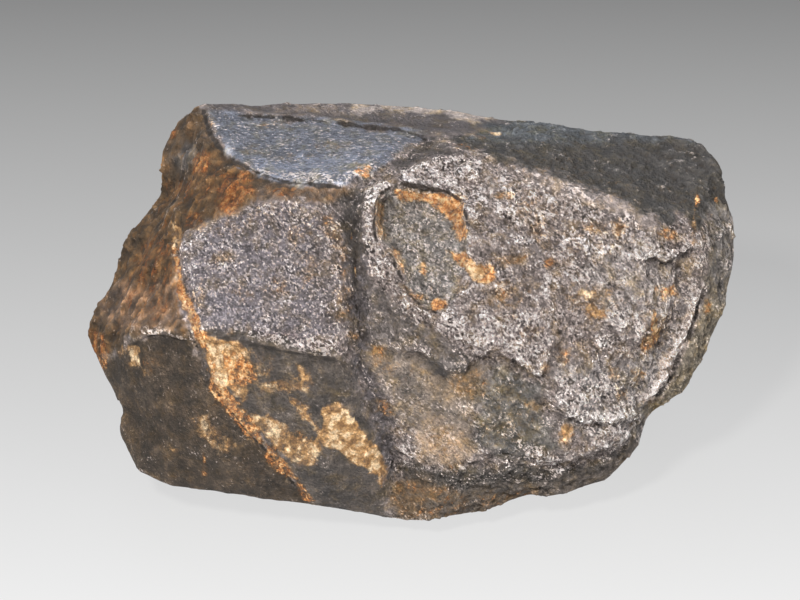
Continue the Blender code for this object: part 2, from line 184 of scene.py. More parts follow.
# The crust's reflectance, and that of each face and part: the outline, the width of its blend in
# millimetres, and the reflectance. A later part lies over an earlier one.
CRUST_TONE = (0.282, 0.232, 0.211)
TONES = [
    (LEFT_SIDE, 0.22, (0.075, 0.0455, 0.022)),
    (BAND, 0.15, (0.115, 0.082, 0.062)),
    (SIDE_TOP, 0.5, (0.077, 0.05, 0.029)),
    (SIDE_GREY, 0.3, (0.085, 0.073, 0.066)),
    (SIDE_LOW, 0.5, (0.15, 0.1, 0.07)),
    (TOP_STRIP, 0.25, (0.118, 0.102, 0.1)),
    (STRIP_BAND, 0.12, (0.44, 0.37, 0.33)),
    # The top face and its lower part: a grey of their own, with a bluish cast that is a painted reflection
    # of the cool light above and behind.
    (TOP_FACE, 0.15, (0.165, 0.173, 0.203)),
    (TOP_FACE_LOW, 0.25, (0.216, 0.231, 0.282)),
    (LEFT_FACE, 0.15, (0.214, 0.186, 0.192)),
    (LEFT_FACE_BROWN, 0.4, (0.187, 0.156, 0.151)),
    (LEFT_FACE_PALE, 0.4, (0.235, 0.207, 0.218)),
    (LEFT_FACE_RIM, 0.12, (0.24, 0.193, 0.197)),
    (LOWER_LEFT_FACE, 0.15, (0.0585, 0.042, 0.029)),
    (LOWER_MIDDLE_FACE, 0.15, (0.084, 0.069, 0.059)),
    (BACK_SLOPE, 0.15, (0.046, 0.0415, 0.038)),
    # The top of the back slope: its bluish cast is a painted reflection of the cool light above and behind.
    (SLOPE_TOP, 0.4, (0.08, 0.085, 0.09)),
    (SOCKET, 0.1, (0.262, 0.235, 0.213)),
    (CREST_SHADE, 0.3, (0.158, 0.134, 0.122)),
    (CREST_TONE, 0.3, (0.28, 0.227, 0.205)),
    (CREST_EDGE, 0.2, (0.105, 0.088, 0.08)),
    # The gully's banks and the top of the bank: darker tones that are painted shade of the gully.
    (GULLY_BANKS, 0.3, (0.124, 0.107, 0.107)),
    (BANK_TOP, 0.2, (0.082, 0.069, 0.062)),
    (CRUST_LOW, 0.3, (0.335, 0.279, 0.263)),
    (TAN_PATCH, 0.3, (0.237, 0.192, 0.158)),
    (TAN_RIGHT, 0.3, (0.26, 0.197, 0.144)),
    (TAN_LOWER, 0.3, (0.43, 0.325, 0.245)),
    (OLIVE, 0.5, (0.163, 0.15, 0.136)),
    (FLANK, 0.4, (0.112, 0.098, 0.086)),
    (CRUST_RIGHT, 0.6, (0.325, 0.29, 0.275)),
    (CRUST_PALE, 0.6, (0.36, 0.31, 0.288)),
    (CRUST_TOP, 0.5, (0.33, 0.27, 0.24)),
    (RIGHT_EDGE, 0.3, (0.205, 0.17, 0.125)),
    (LIP, 0.12, (0.62, 0.5, 0.425)),
    (SLOPE_RIGHT, 0.4, (0.19, 0.169, 0.155)),
    (BOTTOM_TIP, 0.3, (0.155, 0.115, 0.082)),
    (LEDGE_TIP, 0.1, (0.125, 0.107, 0.097)),
    (SLOPE_FOOT, 0.2, (0.27, 0.222, 0.2)),
    (LOWER_RIM, 0.3, (0.13, 0.105, 0.087)),
    (STRIP_START, 0.12, (0.25, 0.207, 0.19)),
]

# The darkest and the palest reflectance of the hidden side.
HIDDEN_TONES = ((0.07, 0.062, 0.056), (0.21, 0.175, 0.155))

# How strongly the blotched faces vary, in doublings of red, green and blue.
MOTTLE = np.array((1.6, 1.5, 1.35))

# Limonite, the brown and orange stain: outlines, blend widths and strengths. Below about 0.5 it is no more
# than a thin brown film.
LIMONITE_AREAS = [
    (LEFT_SIDE, 0.4, 0.28),
    ([(165, 165), (185, 172), (222, 160), (218, 190), (200, 205), (170, 205), (160, 185)], 0.4, 0.5),
    ([(192, 158), (206, 146), (214, 158), (208, 172), (190, 176)], 0.15, 0.76),
    ([(222, 170), (256, 172), (258, 190), (240, 215), (212, 218), (215, 195)], 0.35, 0.72),
    ([(262, 180), (288, 184), (300, 190), (295, 199), (265, 197)], 0.25, 0.6),
    ([(298, 184), (345, 184), (350, 196), (320, 204), (298, 200)], 0.3, 0.4),
    ([(183, 212), (203, 210), (205, 226), (196, 232), (184, 226)], 0.2, 0.62),
    ([(135, 240), (165, 225), (180, 262), (182, 300), (180, 318), (135, 322), (118, 300)], 0.5, 0.55),
    ([(88, 325), (106, 335), (112, 360), (104, 372), (86, 350)], 0.2, 0.75),
    ([(206, 112), (215, 116), (218, 134), (206, 128)], 0.15, 0.55),
    ([(354, 166), (368, 166), (370, 178), (356, 178)], 0.15, 0.8),
    ([(255, 200), (300, 205), (290, 222), (250, 226), (215, 240), (200, 236), (225, 216)], 0.35, 0.26),
    ([(322, 212), (336, 216), (352, 250), (352, 320), (334, 320), (338, 260)], 0.3, 0.4),
    ([(172, 246), (176, 246), (181, 270), (188, 292), (192, 312), (187, 310), (177, 284)], 0.05, 0.95),
    ([(187, 306), (197, 312), (208, 336), (212, 356), (202, 350), (194, 336)], 0.07, 0.95),
    ([(224, 352), (242, 350), (252, 362), (256, 378), (246, 388), (232, 390), (222, 368)], 0.15, 0.88),
    ([(204, 340), (213, 352), (223, 384), (247, 411), (263, 430), (262, 447), (243, 431), (226, 412),
      (212, 388)], 0.08, 0.8),
    ([(262, 438), (276, 446), (296, 470), (300, 486), (282, 476), (264, 456)], 0.12, 0.76),
    ([(210, 384), (228, 386), (238, 402), (252, 418), (266, 436), (262, 448), (242, 432), (226, 413),
      (213, 396)], 0.1, 0.8),
    ([(290, 476), (304, 486), (314, 500), (303, 500)], 0.1, 0.76),
    ([(296, 428), (322, 438), (328, 456), (306, 458), (284, 440)], 0.2, 0.5),
    ([(336, 436), (352, 430), (368, 448), (372, 470), (356, 456)], 0.2, 0.48),
    ([(392, 190), (420, 192), (440, 191), (456, 197), (464, 212), (467, 230), (462, 240), (453, 230),
      (446, 216), (436, 206), (420, 202), (400, 201)], 0.1, 0.94),
    ([(377, 200), (384, 204), (383, 222), (385, 238), (380, 244), (375, 225)], 0.12, 0.6),
    ([(390, 248), (398, 252), (408, 272), (402, 280)], 0.1, 0.7),
    ([(449, 252), (464, 251), (474, 262), (492, 266), (496, 278), (486, 284), (474, 287),
      (466, 272)], 0.12, 0.92),
    ([(402, 284), (412, 288), (422, 300), (410, 302)], 0.1, 0.7),
    ([(444, 376), (480, 366), (492, 378), (500, 392), (478, 400), (456, 392)], 0.35, 0.45),
    ([(394, 474), (425, 478), (470, 494), (470, 520), (400, 520), (386, 500)], 0.35, 0.42),
    ([(472, 494), (540, 486), (545, 500), (480, 514)], 0.3, 0.45),
    ([(370, 345), (388, 348), (384, 366), (372, 366)], 0.15, 0.6),
    ([(376, 396), (394, 400), (390, 416), (376, 412)], 0.15, 0.6),
    ([(500, 185), (560, 195), (556, 225), (512, 222)], 0.5, 0.22),
    ([(480, 375), (530, 384), (540, 430), (520, 452), (480, 440)], 0.5, 0.26),
    ([(640, 318), (672, 312), (668, 345), (646, 356)], 0.4, 0.3),
    ([(540, 225), (600, 222), (650, 232), (600, 262), (545, 262)], 0.6, 0.18),
    ([(490, 280), (530, 290), (520, 312), (486, 306)], 0.4, 0.28),
    ([(572, 288), (612, 286), (616, 310), (600, 322), (574, 308)], 0.3, 0.3),
    ([(475, 150), (560, 150), (640, 185), (700, 185), (700, 205), (620, 200), (530, 175)], 0.6, 0.2),
]

# Its single spots: middle, half width and half height, and strength.
LIMONITE_SPOTS = [
    (592, 228, 9, 5, 0.6), (618, 228, 5, 8, 0.6), (669, 233, 10, 5, 0.75), (550, 263, 6, 5, 0.7),
    (601, 314, 7, 6, 0.6), (568, 297, 6, 4, 0.6), (667, 291, 10, 6, 0.85), (664, 297, 5, 6, 0.8),
    (655, 329, 5, 11, 1.0), (648, 344, 7, 8, 0.75), (564, 358, 6, 8, 0.6), (546, 370, 5, 6, 0.6),
    (613, 372, 6, 7, 0.55), (637, 374, 7, 7, 0.5), (534, 405, 7, 4, 0.6), (567, 434, 6, 11, 0.62),
    (697, 197, 3, 12, 0.82), (716, 199, 3, 3, 0.75), (708, 310, 4, 10, 0.6), (535, 230, 9, 10, 0.45),
    (506, 196, 11, 4, 0.45), (504, 292, 8, 9, 0.55), (424, 271, 4, 8, 0.85), (437, 304, 8, 7, 1.0),
    (422, 297, 7, 3, 0.65), (462, 236, 6, 5, 0.8), (455, 206, 9, 10, 0.98), (404, 196, 8, 5, 0.95),
    (648, 305, 5, 10, 0.35), (500, 262, 14, 6, 0.35), (498, 408, 6, 5, 0.55), (355, 336, 6, 5, 0.6),
    (328, 224, 7, 9, 0.6), (276, 288, 14, 10, 0.42), (160, 290, 14, 24, 0.6), (172, 132, 6, 12, 0.55),
    (192, 196, 8, 8, 0.5), (166, 222, 5, 12, 0.6), (205, 466, 3, 14, 0.65), (262, 472, 6, 4, 0.5),
    (150, 362, 14, 12, 0.4), (465, 146, 10, 4, 0.5), (476, 139, 8, 3, 0.5), (455, 470, 6, 6, 0.6),
    (620, 395, 7, 8, 0.45), (222, 258, 12, 10, 0.35), (300, 232, 14, 10, 0.35), (240, 296, 14, 8, 0.3),
    (308, 268, 10, 16, 0.35), (198, 296, 8, 14, 0.4), (520, 258, 8, 6, 0.45), (530, 332, 10, 6, 0.35),
    (272, 124, 16, 4, 0.4), (330, 146, 20, 4, 0.35), (250, 150, 12, 5, 0.3), (300, 158, 20, 4, 0.3),
]

# Pale clay and altered rock, the cream of the vein and of its branches. These stand out a little.
RAISED_CLAY_AREAS = [
    ([(172, 248), (175, 248), (180, 270), (187, 290), (190, 308), (186, 306), (177, 282)], 0.04, 0.6),
    ([(172, 222), (175, 222), (176, 248), (172, 248)], 0.05, 0.7),
    ([(178, 228), (181, 228), (182, 244), (179, 244)], 0.05, 0.6),
    ([(186, 302), (192, 306), (200, 325), (206, 336), (198, 338), (188, 320)], 0.06, 0.5),
    ([(203, 338), (222, 340), (240, 342), (250, 350), (240, 360), (230, 372), (228, 390), (216, 386),
      (208, 366)], 0.12, 0.85),
    ([(226, 384), (244, 380), (252, 392), (244, 404), (236, 398)], 0.15, 0.7),
    ([(250, 348), (270, 354), (276, 372), (264, 388), (252, 378)], 0.25, 0.32),
    ([(254, 382), (300, 376), (314, 384), (306, 394), (262, 393)], 0.15, 0.58),
    ([(212, 388), (222, 390), (232, 404), (226, 406)], 0.12, 0.6),
    ([(296, 362), (306, 366), (312, 382), (298, 384)], 0.15, 0.72),
    ([(250, 412), (275, 416), (288, 427), (300, 440), (318, 438), (324, 450), (316, 464), (300, 466),
      (284, 458), (270, 444), (256, 432)], 0.2, 0.68),
    ([(322, 424), (322, 410), (338, 401), (350, 410), (358, 425), (372, 440), (383, 455), (388, 470),
      (381, 486), (372, 474), (356, 464), (345, 455), (335, 450), (325, 446), (316, 438)], 0.12, 0.85),
]

# The rest of the clay, which is flat.
FLAT_CLAY_AREAS = [
    ([(288, 396), (298, 400), (310, 414), (322, 428), (316, 434), (302, 418)], 0.14, 0.72),
    ([(188, 418), (206, 412), (220, 430), (234, 440), (230, 454), (214, 448), (198, 436)], 0.2, 0.5),
    ([(127, 346), (139, 346), (140, 366), (129, 368)], 0.1, 0.75),
    ([(118, 346), (131, 344), (131, 358), (118, 360)], 0.12, 0.45),
    ([(420, 430), (440, 421), (462, 430), (470, 442), (466, 456), (440, 462), (421, 457)], 0.3, 0.42),
    ([(450, 382), (466, 378), (480, 384), (474, 398), (454, 398)], 0.3, 0.34),
    ([(462, 262), (474, 268), (480, 282), (470, 282)], 0.08, 1.05),
    ([(582, 301), (592, 302), (604, 314), (600, 320), (588, 312)], 0.12, 0.85),
    ([(693, 206), (696, 206), (695, 246), (691, 246)], 0.05, 0.42),
    ([(228, 346), (250, 350), (254, 366), (250, 380), (234, 384), (228, 366)], 0.2, 0.62),
]
CLAY_SPOTS = [
    (424, 266, 3, 4, 0.8), (590, 293, 11, 5, 0.65), (608, 292, 5, 5, 0.5), (618, 228, 3, 6, 0.65),
    (508, 296, 6, 6, 0.4), (655, 328, 4, 10, 1.05), (437, 303, 6, 5, 0.7), (566, 431, 4, 8, 0.95),
    (530, 200, 14, 9, 0.36), (172, 450, 8, 3, 0.5), (215, 436, 9, 6, 0.4), (252, 440, 6, 3, 0.4),
    (590, 228, 7, 4, 0.45), (640, 376, 5, 5, 0.35), (479, 273, 6, 7, 1.2), (470, 264, 5, 4, 1.0),
    (381, 218, 4, 14, 0.6), (145, 372, 5, 4, 0.35), (232, 444, 5, 4, 0.5), (496, 134, 8, 2, 0.6),
    (398, 262, 2, 6, 0.4), (392, 370, 10, 8, 0.34), (418, 372, 8, 6, 0.3), (645, 350, 6, 6, 0.4),
    (620, 300, 5, 5, 0.4),
]

# Painted glints: where the small crystal faces of the crust are painted as pinkish white highlights, and how
# much painted glint the crust has elsewhere.
PAINTED_GLINT_AREAS = [
    (LEFT_FACE, 0.15, 0.55),
    ([(240, 331), (262, 330), (300, 340), (338, 346), (338, 358), (310, 352), (280, 342),
      (250, 338)], 0.06, 1.0),
    ([(255, 206), (325, 206), (334, 230), (320, 240), (280, 226), (255, 222)], 0.2, 0.62),
    ([(246, 166), (300, 176), (345, 174), (364, 166), (384, 158), (364, 180), (340, 185),
      (275, 182)], 0.08, 0.95),
    (TOP_FACE, 0.1, 0.02),
    ([(400, 186), (385, 184), (372, 189), (366, 196), (363, 212), (366, 228), (362, 238), (364, 250),
      (374, 264), (380, 278), (392, 284), (397, 275), (392, 262), (384, 252), (377, 243), (373, 230),
      (372, 210), (377, 196), (390, 190)], 0.06, 0.88),
    ([(400, 172), (420, 163), (440, 157), (462, 158), (482, 172), (492, 200), (480, 226), (468, 215),
      (460, 200), (440, 190), (418, 187), (402, 182)], 0.12, 0.95),
    ([(480, 165), (560, 178), (640, 215), (640, 262), (560, 250), (500, 228), (486, 200)], 0.3, 0.75),
    ([(428, 322), (450, 310), (540, 312), (552, 345), (530, 368), (500, 350), (472, 348),
      (440, 336)], 0.15, 0.9),
    ([(556, 376), (600, 372), (640, 395), (636, 430), (600, 436), (574, 420), (556, 400)], 0.15, 0.9),
    ([(566, 262), (592, 262), (592, 284), (570, 280)], 0.1, 1.0),
    ([(600, 240), (626, 250), (628, 262), (600, 254)], 0.08, 1.0),
    ([(616, 312), (644, 320), (646, 336), (620, 330)], 0.08, 0.95),
    ([(598, 334), (612, 334), (612, 346), (598, 346)], 0.08, 0.9),
    ([(640, 236), (686, 246), (668, 262), (640, 256)], 0.1, 0.85),
    ([(697, 294), (706, 296), (690, 335), (672, 372), (655, 396), (640, 404), (646, 392), (662, 366),
      (680, 328)], 0.08, 1.0),
    ([(500, 434), (514, 432), (556, 456), (574, 470), (556, 474), (528, 460)], 0.08, 0.88),
    ([(574, 420), (604, 426), (632, 422), (630, 436), (596, 438)], 0.08, 1.05),
    ([(476, 410), (488, 408), (516, 420), (510, 428)], 0.15, 0.5),
    ([(600, 446), (626, 434), (622, 450), (604, 460)], 0.1, 0.7),
    ([(455, 322), (466, 322), (464, 342), (452, 340)], 0.06, 1.0),
    ([(400, 300), (420, 304), (436, 318), (420, 322), (402, 312)], 0.08, 0.9),
    ([(140, 330), (160, 326), (188, 334), (190, 340), (150, 338)], 0.08, 0.7),
    (SOCKET, 0.1, 0.62),
]
PAINTED_GLINT_SPOTS = [
    (524, 242, 9, 7, 1.5), (582, 277, 12, 6, 1.8), (602, 248, 9, 4, 1.6), (622, 257, 10, 6, 1.7),
    (588, 250, 5, 6, 1.3), (627, 318, 12, 6, 1.6), (640, 330, 6, 7, 1.6), (521, 319, 6, 6, 1.5),
    (604, 342, 9, 6, 1.5), (545, 285, 5, 10, 1.2), (614, 308, 6, 8, 1.3), (460, 330, 6, 8, 1.4),
    (500, 322, 14, 8, 1.2), (438, 174, 26, 8, 1.25), (456, 168, 24, 11, 1.6), (470, 190, 9, 8, 1.2),
    (380, 186, 9, 5, 1.3), (368, 240, 4, 8, 1.1), (376, 268, 8, 8, 1.0), (600, 392, 18, 8, 1.25),
    (590, 416, 16, 6, 1.3), (616, 414, 10, 6, 1.2), (572, 384, 10, 8, 1.1), (652, 250, 12, 4, 1.2),
    (300, 341, 26, 4, 1.15), (326, 346, 10, 6, 1.15), (270, 332, 20, 3, 1.0), (298, 220, 14, 4, 1.0),
    (304, 176, 26, 4, 1.2), (692, 312, 5, 16, 1.2), (660, 386, 10, 10, 1.1), (545, 212, 9, 7, 1.1),
    (516, 190, 14, 8, 1.0), (580, 206, 14, 8, 1.0), (150, 330, 14, 4, 1.0),
]
CRUST_PAINTED_GLINTS = 0.4

# Where the surface is dull and glints less.
DULL_AREAS = [
    (LOWER_LEFT_FACE, 0.12, 0.88),
    (LOWER_MIDDLE_FACE, 0.12, 0.95),
    (LEFT_SIDE, 0.2, 0.95),
    (BACK_SLOPE, 0.12, 1.0),
    (TAN_PATCH, 0.25, 0.45),
    (OLIVE, 0.4, 0.5),
    (BOTTOM_TIP, 0.25, 0.6),
    (RIGHT_EDGE, 0.2, 0.6),
    (GULLY_BANKS, 0.25, 0.35),
    (BANK_TOP, 0.2, 0.5),
    (CREST_EDGE, 0.2, 0.45),
    (TOP_STRIP, 0.1, 0.5),
    (CREST_SHADE, 0.2, 0.5),
    (FLANK, 0.3, 0.2),
    (LEDGE_TIP, 0.1, 0.75),
    (SLOPE_FOOT, 0.2, 0.5),
    (LOWER_RIM, 0.2, 0.9),
]

# Where the grain shows less.
CALM_AREAS = [
    (LEFT_SIDE, 0.2, 0.5),
    (BACK_SLOPE, 0.2, 0.1),
    (TOP_FACE, 0.1, 0.36),
    (TOP_STRIP, 0.1, 0.6),
    (TAN_PATCH, 0.25, 0.15),
]

# Where the tone is blotched.
BLOTCHED_AREAS = [
    (LEFT_SIDE, 0.2, 0.95),
    (BACK_SLOPE, 0.3, 0.2),
    (TOP_FACE, 0.1, 0.16),
    (LOWER_LEFT_FACE, 0.12, 0.6),
    (LOWER_MIDDLE_FACE, 0.12, 0.5),
    (TAN_PATCH, 0.25, 0.45),
    (OLIVE, 0.4, 0.4),
]

# Where the painted glints are spread evenly, not in clusters.
EVEN_AREAS = [
    (LEFT_FACE, 0.2, 0.72),
    (TOP_FACE, 0.2, 0.85),
    (SOCKET, 0.1, 0.7),
    (LOWER_LEFT_FACE, 0.15, 0.6),
    (LOWER_MIDDLE_FACE, 0.15, 0.6),
]

# Painted shade in the grooves, cracks, along ledges and under overhangs: a line, the half width of the dark
# in millimetres, and its strength.
DARK_LINES = [
    ([(428, 139), (402, 154), (380, 172), (356, 190)], 0.25, 0.35),
    ([(352, 200), (353, 245), (355, 290), (355, 322), (362, 352), (370, 385), (380, 420), (388, 450),
      (396, 478)], 0.45, 0.2),
    ([(350, 232), (354, 260), (356, 300), (358, 330)], 0.14, 0.6),
    ([(388, 189), (400, 185), (414, 184), (426, 189), (446, 191), (460, 200), (466, 214),
      (469, 232)], 0.07, 1.0),
    ([(402, 183), (412, 185), (424, 188)], 0.14, 1.0),
    ([(388, 189), (379, 194), (375, 204), (374, 222), (376, 240)], 0.08, 0.85),
    ([(236, 116), (300, 119), (400, 130), (425, 138)], 0.14, 0.85),
    ([(204, 112), (209, 130), (218, 146), (236, 162), (260, 174), (290, 183), (340, 187)], 0.13, 0.9),
    ([(205, 334), (240, 341), (280, 350), (330, 359), (346, 366)], 0.13, 0.85),
    ([(182, 246), (200, 232), (230, 218), (258, 206)], 0.14, 0.6),
    ([(375, 345), (400, 349), (430, 358), (445, 370), (460, 378)], 0.12, 0.2),
    ([(540, 392), (560, 409), (580, 420), (605, 424), (632, 420)], 0.2, 0.35),
    ([(636, 258), (648, 256), (655, 259), (662, 263), (672, 261), (679, 253), (690, 248)], 0.06, 0.8),
    ([(584, 200), (586, 214), (580, 224)], 0.05, 0.8),
    ([(185, 320), (198, 350), (210, 382), (226, 406), (246, 430), (270, 456), (292, 482),
      (306, 500)], 0.06, 0.8),
    ([(400, 468), (440, 474), (500, 474), (560, 478), (600, 470)], 0.45, 0.5),
    ([(376, 240), (392, 256), (400, 275), (408, 294), (424, 308), (440, 314)], 0.07, 0.75),
    ([(700, 300), (688, 340), (668, 384), (646, 408)], 0.12, 0.6),
]

# Where the surface is flat, with fine relief in place of the crust's.
FLAT_AREAS = [
    (TOP_FACE, 0.1, 1.0),
    (LEFT_FACE, 0.15, 1.0),
    (LOWER_LEFT_FACE, 0.1, 0.85),
    (LOWER_MIDDLE_FACE, 0.1, 0.85),
    (TAN_PATCH, 0.2, 0.7),
    (SOCKET, 0.1, 0.5),
    (TOP_STRIP, 0.1, 0.8),
]

# Steps: a line along the foot, with the high ground on its left hand, the height, how far behind the edge
# the high ground sinks back, and the width of the face. From here on, sizes are in millimetres.
LEDGES = [
    ([(376, 344), (400, 349), (428, 353), (442, 366), (456, 373)], 0.05, 1.0, 0.18),
    ([(470, 362), (486, 352), (500, 355), (508, 364)], 0.05, 0.8, 0.15),
    ([(516, 360), (528, 372), (540, 376), (548, 362)], 0.08, 0.9, 0.12),
    ([(540, 394), (560, 408), (582, 419)], 0.1, 0.7, 0.12),
    ([(586, 416), (604, 422), (632, 416)], 0.1, 0.7, 0.12),
    ([(500, 452), (524, 448), (548, 458)], 0.1, 0.7, 0.1),
    ([(560, 456), (588, 454), (620, 440)], 0.1, 0.7, 0.1),
    ([(632, 256), (648, 256), (656, 259), (663, 263), (672, 261), (679, 253), (692, 247)], 0.18, 0.8, 0.05),
    ([(592, 314), (606, 324), (624, 338), (636, 338)], 0.08, 0.6, 0.09),
    ([(132, 346), (146, 335), (168, 334), (194, 339)], 0.1, 0.6, 0.09),
    ([(205, 337), (244, 344), (300, 351), (338, 361)], 0.08, 0.5, 0.12),
    ([(560, 196), (578, 200), (584, 214), (580, 226)], 0.12, 0.6, 0.06),
]

# Furrows: a line, the depth and the half width.
FURROWS = [
    ([(178, 224), (176, 250), (184, 288), (192, 320), (200, 350), (212, 385), (228, 407), (246, 429),
      (270, 454), (292, 480), (306, 498)], 0.09, 0.08),
    ([(386, 191), (400, 187), (413, 186), (426, 190), (446, 193), (459, 202), (465, 216)], 0.14, 0.1),
    ([(382, 242), (394, 256), (402, 274), (408, 292), (424, 308), (440, 314)], 0.05, 0.1),
    ([(230, 118), (300, 120), (400, 132), (425, 139)], 0.16, 0.12),
    ([(204, 120), (212, 140), (224, 156)], 0.22, 0.22),
    ([(702, 298), (690, 336), (668, 382), (646, 408)], 0.12, 0.16),
    ([(540, 150), (600, 172), (650, 182), (700, 178)], 0.08, 0.2),
]

# Raised lines: the thin rim round the socket, the lip at the right, and the bank along the gully.
RIDGES = [
    ([(440, 158), (420, 166), (400, 176), (384, 183), (370, 190), (365, 205), (367, 225),
      (364, 240)], 0.08, 0.12),
    ([(372, 262), (384, 276), (396, 288), (412, 306), (432, 320)], 0.08, 0.14),
    ([(698, 292), (684, 330), (664, 374), (646, 398)], 0.12, 0.14),
    ([(353, 210), (353, 245), (355, 290), (355, 322), (360, 352), (370, 385), (382, 425)], 0.2, 0.3),
]

# How far from its ends a step runs out, and how deep the ground below it is scooped out for its height.
LEDGE_RUN_OUT = (-0.3, 0.4)
LEDGE_SCOOP = 0.35

# Lumps and plates of the crust, of the flat faces and of the raised clay: their size and height.
CRUST_LUMPS = [(1.3, 0.11), (0.55, 0.065), (0.28, 0.035)]
CRUST_PLATES = [(0.95, 0.11), (0.45, 0.09)]
FACE_LUMPS = (0.5, 0.035)
FACE_PLATES = (0.35, 0.035)
CLAY_PLATES = (0.22, 0.06)
CLAY_LEVEL = 0.4
PLATE_STEP = 0.5

# Broken steps of the crust: their size, number and height, and the part of a step that rises again.
TERRACE_SIZE = 2.6
TERRACE_LEVELS = 4
TERRACE_HEIGHT = 0.12
TERRACE_EDGE = (0.86, 1.0)

# Directions across and up: the crust's grain, the evenly flecked faces' grain and the left side's streaks.
GRAIN_DIRECTION = (0.62, -0.78)
LEVEL_DIRECTION = (1.0, 0.14)
STREAK_DIRECTION = (0.33, 0.94)

# The streaks' size and height, and how many times longer than wide the relief of each is.
STREAKS = (0.32, 0.13)
STREAK_LENGTH = 7
GRAIN_LENGTH = 1.8

# Where the side is streaky and where the back slopes away: the outline and the width of its blend.
STREAKY_AREA = (LEFT_SIDE, 0.3)
SLOPE_AREA = (BACK_SLOPE, 0.2)

# The gully is worn softer than the rest, the socket is sunk, and the relief fades out by the rest face.
WORN_WIDTH = 0.6
WORN_SHARE = 0.65
WORN_ROUNDS = 32
SOCKET_DEPTH = 0.12
SOCKET_WALL = 0.1
REST_FADE = (0.0, 0.5)

# Outlines and lines wander from where they are drawn: the sizes and heights of that noise, and how far each
# kind of outline or line follows it.
WANDER = [(0.9, 1.6), (0.35, 1.2)]
AREA_WANDER = 0.12
LINE_WANDER = 0.06
WALL_WANDER = 0.05
STEP_WANDER = 0.11
TONE_WANDER = 0.26
SPOT_WANDER = 0.35

# A spot fades between these shares of its half width and half height.
SPOT_EDGE = (0.6, 1.4)

# Hollows: the rounds of smoothing to compare with, and the depths that count as 1 for painted shade and for
# stain.
HOLLOW_ROUNDS = 8
HOLLOW_DEPTH = 0.04
STAINED_DEPTH = 0.05

# The hidden side's pale patches, and the blotches: sizes. Its stains: size, seed, threshold and strength.
PATCH_SIZES = (4.5, 1.2)
BLOTCH_SIZES = (0.8, 0.32)
HIDDEN_LIMONITE = (3.2, 31, 0.18, 0.8)
HIDDEN_CLAY = (2.6, 35, 0.36, 0.7)


def from_photo(pixels):
    """Across and up, in millimetres, of places in the picture."""
    return (np.asarray(pixels, float) - PICTURE_MIDDLE) * (PIXEL, -PIXEL)


def smooth_step(low, high, value):
    t = np.clip((value - low) / (high - low), 0, 1)
    return t * t * (3 - 2 * t)


def distance_to_line(points, line):
    """Distance of each point to a chain of straight runs, and +1 where it lies on the chain's left hand."""
    nearest = np.full(len(points), np.inf)
    side = np.ones(len(points))
    for start, end in zip(line[:-1], line[1:]):
        run = end - start
        along = np.clip(((points - start) @ run) / (run @ run), 0, 1)
        away = points - (start + along[:, None] * run)
        distance = np.hypot(away[:, 0], away[:, 1])
        closer = distance < nearest
        nearest = np.where(closer, distance, nearest)
        turn = run[0] * (points[:, 1] - start[1]) - run[1] * (points[:, 0] - start[0])
        side = np.where(closer, np.sign(turn), side)
    return nearest, side


def inside(points, outline):
    """True for each point inside a closed outline."""
    within = np.zeros(len(points), bool)
    for (x0, y0), (x1, y1) in zip(outline, np.roll(outline, -1, axis=0)):
        crosses = (y0 > points[:, 1]) != (y1 > points[:, 1])
        reach = x0 + (points[:, 1] - y0) * (x1 - x0) / (y1 - y0 + 1e-12)
        within ^= crosses & (points[:, 0] < reach)
    return within


def depth_inside(points, outline):
    """How far each point lies inside a closed outline, negative outside it."""
    closed = np.vstack([outline, outline[:1]])
    distance, _ = distance_to_line(points, closed)
    return np.where(inside(points, outline), distance, -distance)


def ripple(places, size, seed):
    """Smooth noise, mostly from -0.5 to 0.5, with lumps of the given size."""
    shifted = places / size + np.array((17.3, 5.1, 9.7)) * seed
    return np.array([noise.noise(spot) for spot in shifted.tolist()])


def hashed(cells, seed):
    """A repeatable random number from 0 to 1 for each cell of a grid."""
    mixed = cells[:, 0] * 73856093 ^ cells[:, 1] * 19349663 ^ cells[:, 2] * 83492791 ^ seed * 97300493
    mixed = (mixed ^ (mixed >> 13)) * 1274126177
    mixed = (mixed ^ (mixed >> 16)) & 0xFFFFFF
    return mixed / 0xFFFFFF


def plates(places, size, seed):
    """Small flat plates, each tilted its own way and lying at its own level, as in a scaly crust."""
    scaled = places / size
    cells = np.floor(scaled).astype(np.int64)
    nearest = np.full(len(places), np.inf)
    offset = np.zeros_like(scaled)
    owner = cells.copy()
    for shift in itertools.product((-1, 0, 1), repeat=3):
        near = cells + shift
        middle = near + np.column_stack([hashed(near, seed + axis) for axis in range(3)])
        away = scaled - middle
        distance = (away**2).sum(axis=1)
        closer = distance < nearest
        nearest[closer] = distance[closer]
        offset[closer] = away[closer]
        owner[closer] = near[closer]
    own = np.column_stack([hashed(owner, seed + 3 + axis) for axis in range(3)]) - 0.5
    return 2 * (offset * own).sum(axis=1) + PLATE_STEP * own[:, 0]


def terraces(places, size, levels, seed):
    """Broken steps, from -0.5 to 0.5: each layer sinks slowly, and the surface rises again at its edge."""
    field = levels * (ripple(places, size, seed) + 0.3 * ripple(places, size / 3.5, seed + 1) + 2)
    part = field - np.floor(field)
    return 1 - part + smooth_step(*TERRACE_EDGE, part) - 0.5


def direction_line(direction):
    """The line in space, of length 1, that a direction across and up has on the broad side."""
    across, up = np.array(direction, float) / np.hypot(*direction)
    return np.array((across, up * math.sin(LEAN), up * math.cos(LEAN)))


def stretched(places, direction, times):
    """Places squeezed along a direction of the broad side, so that noise read there is that much longer."""
    line = direction_line(direction)
    along = places @ line
    return places - (along * (1 - 1 / times))[:, None] * line


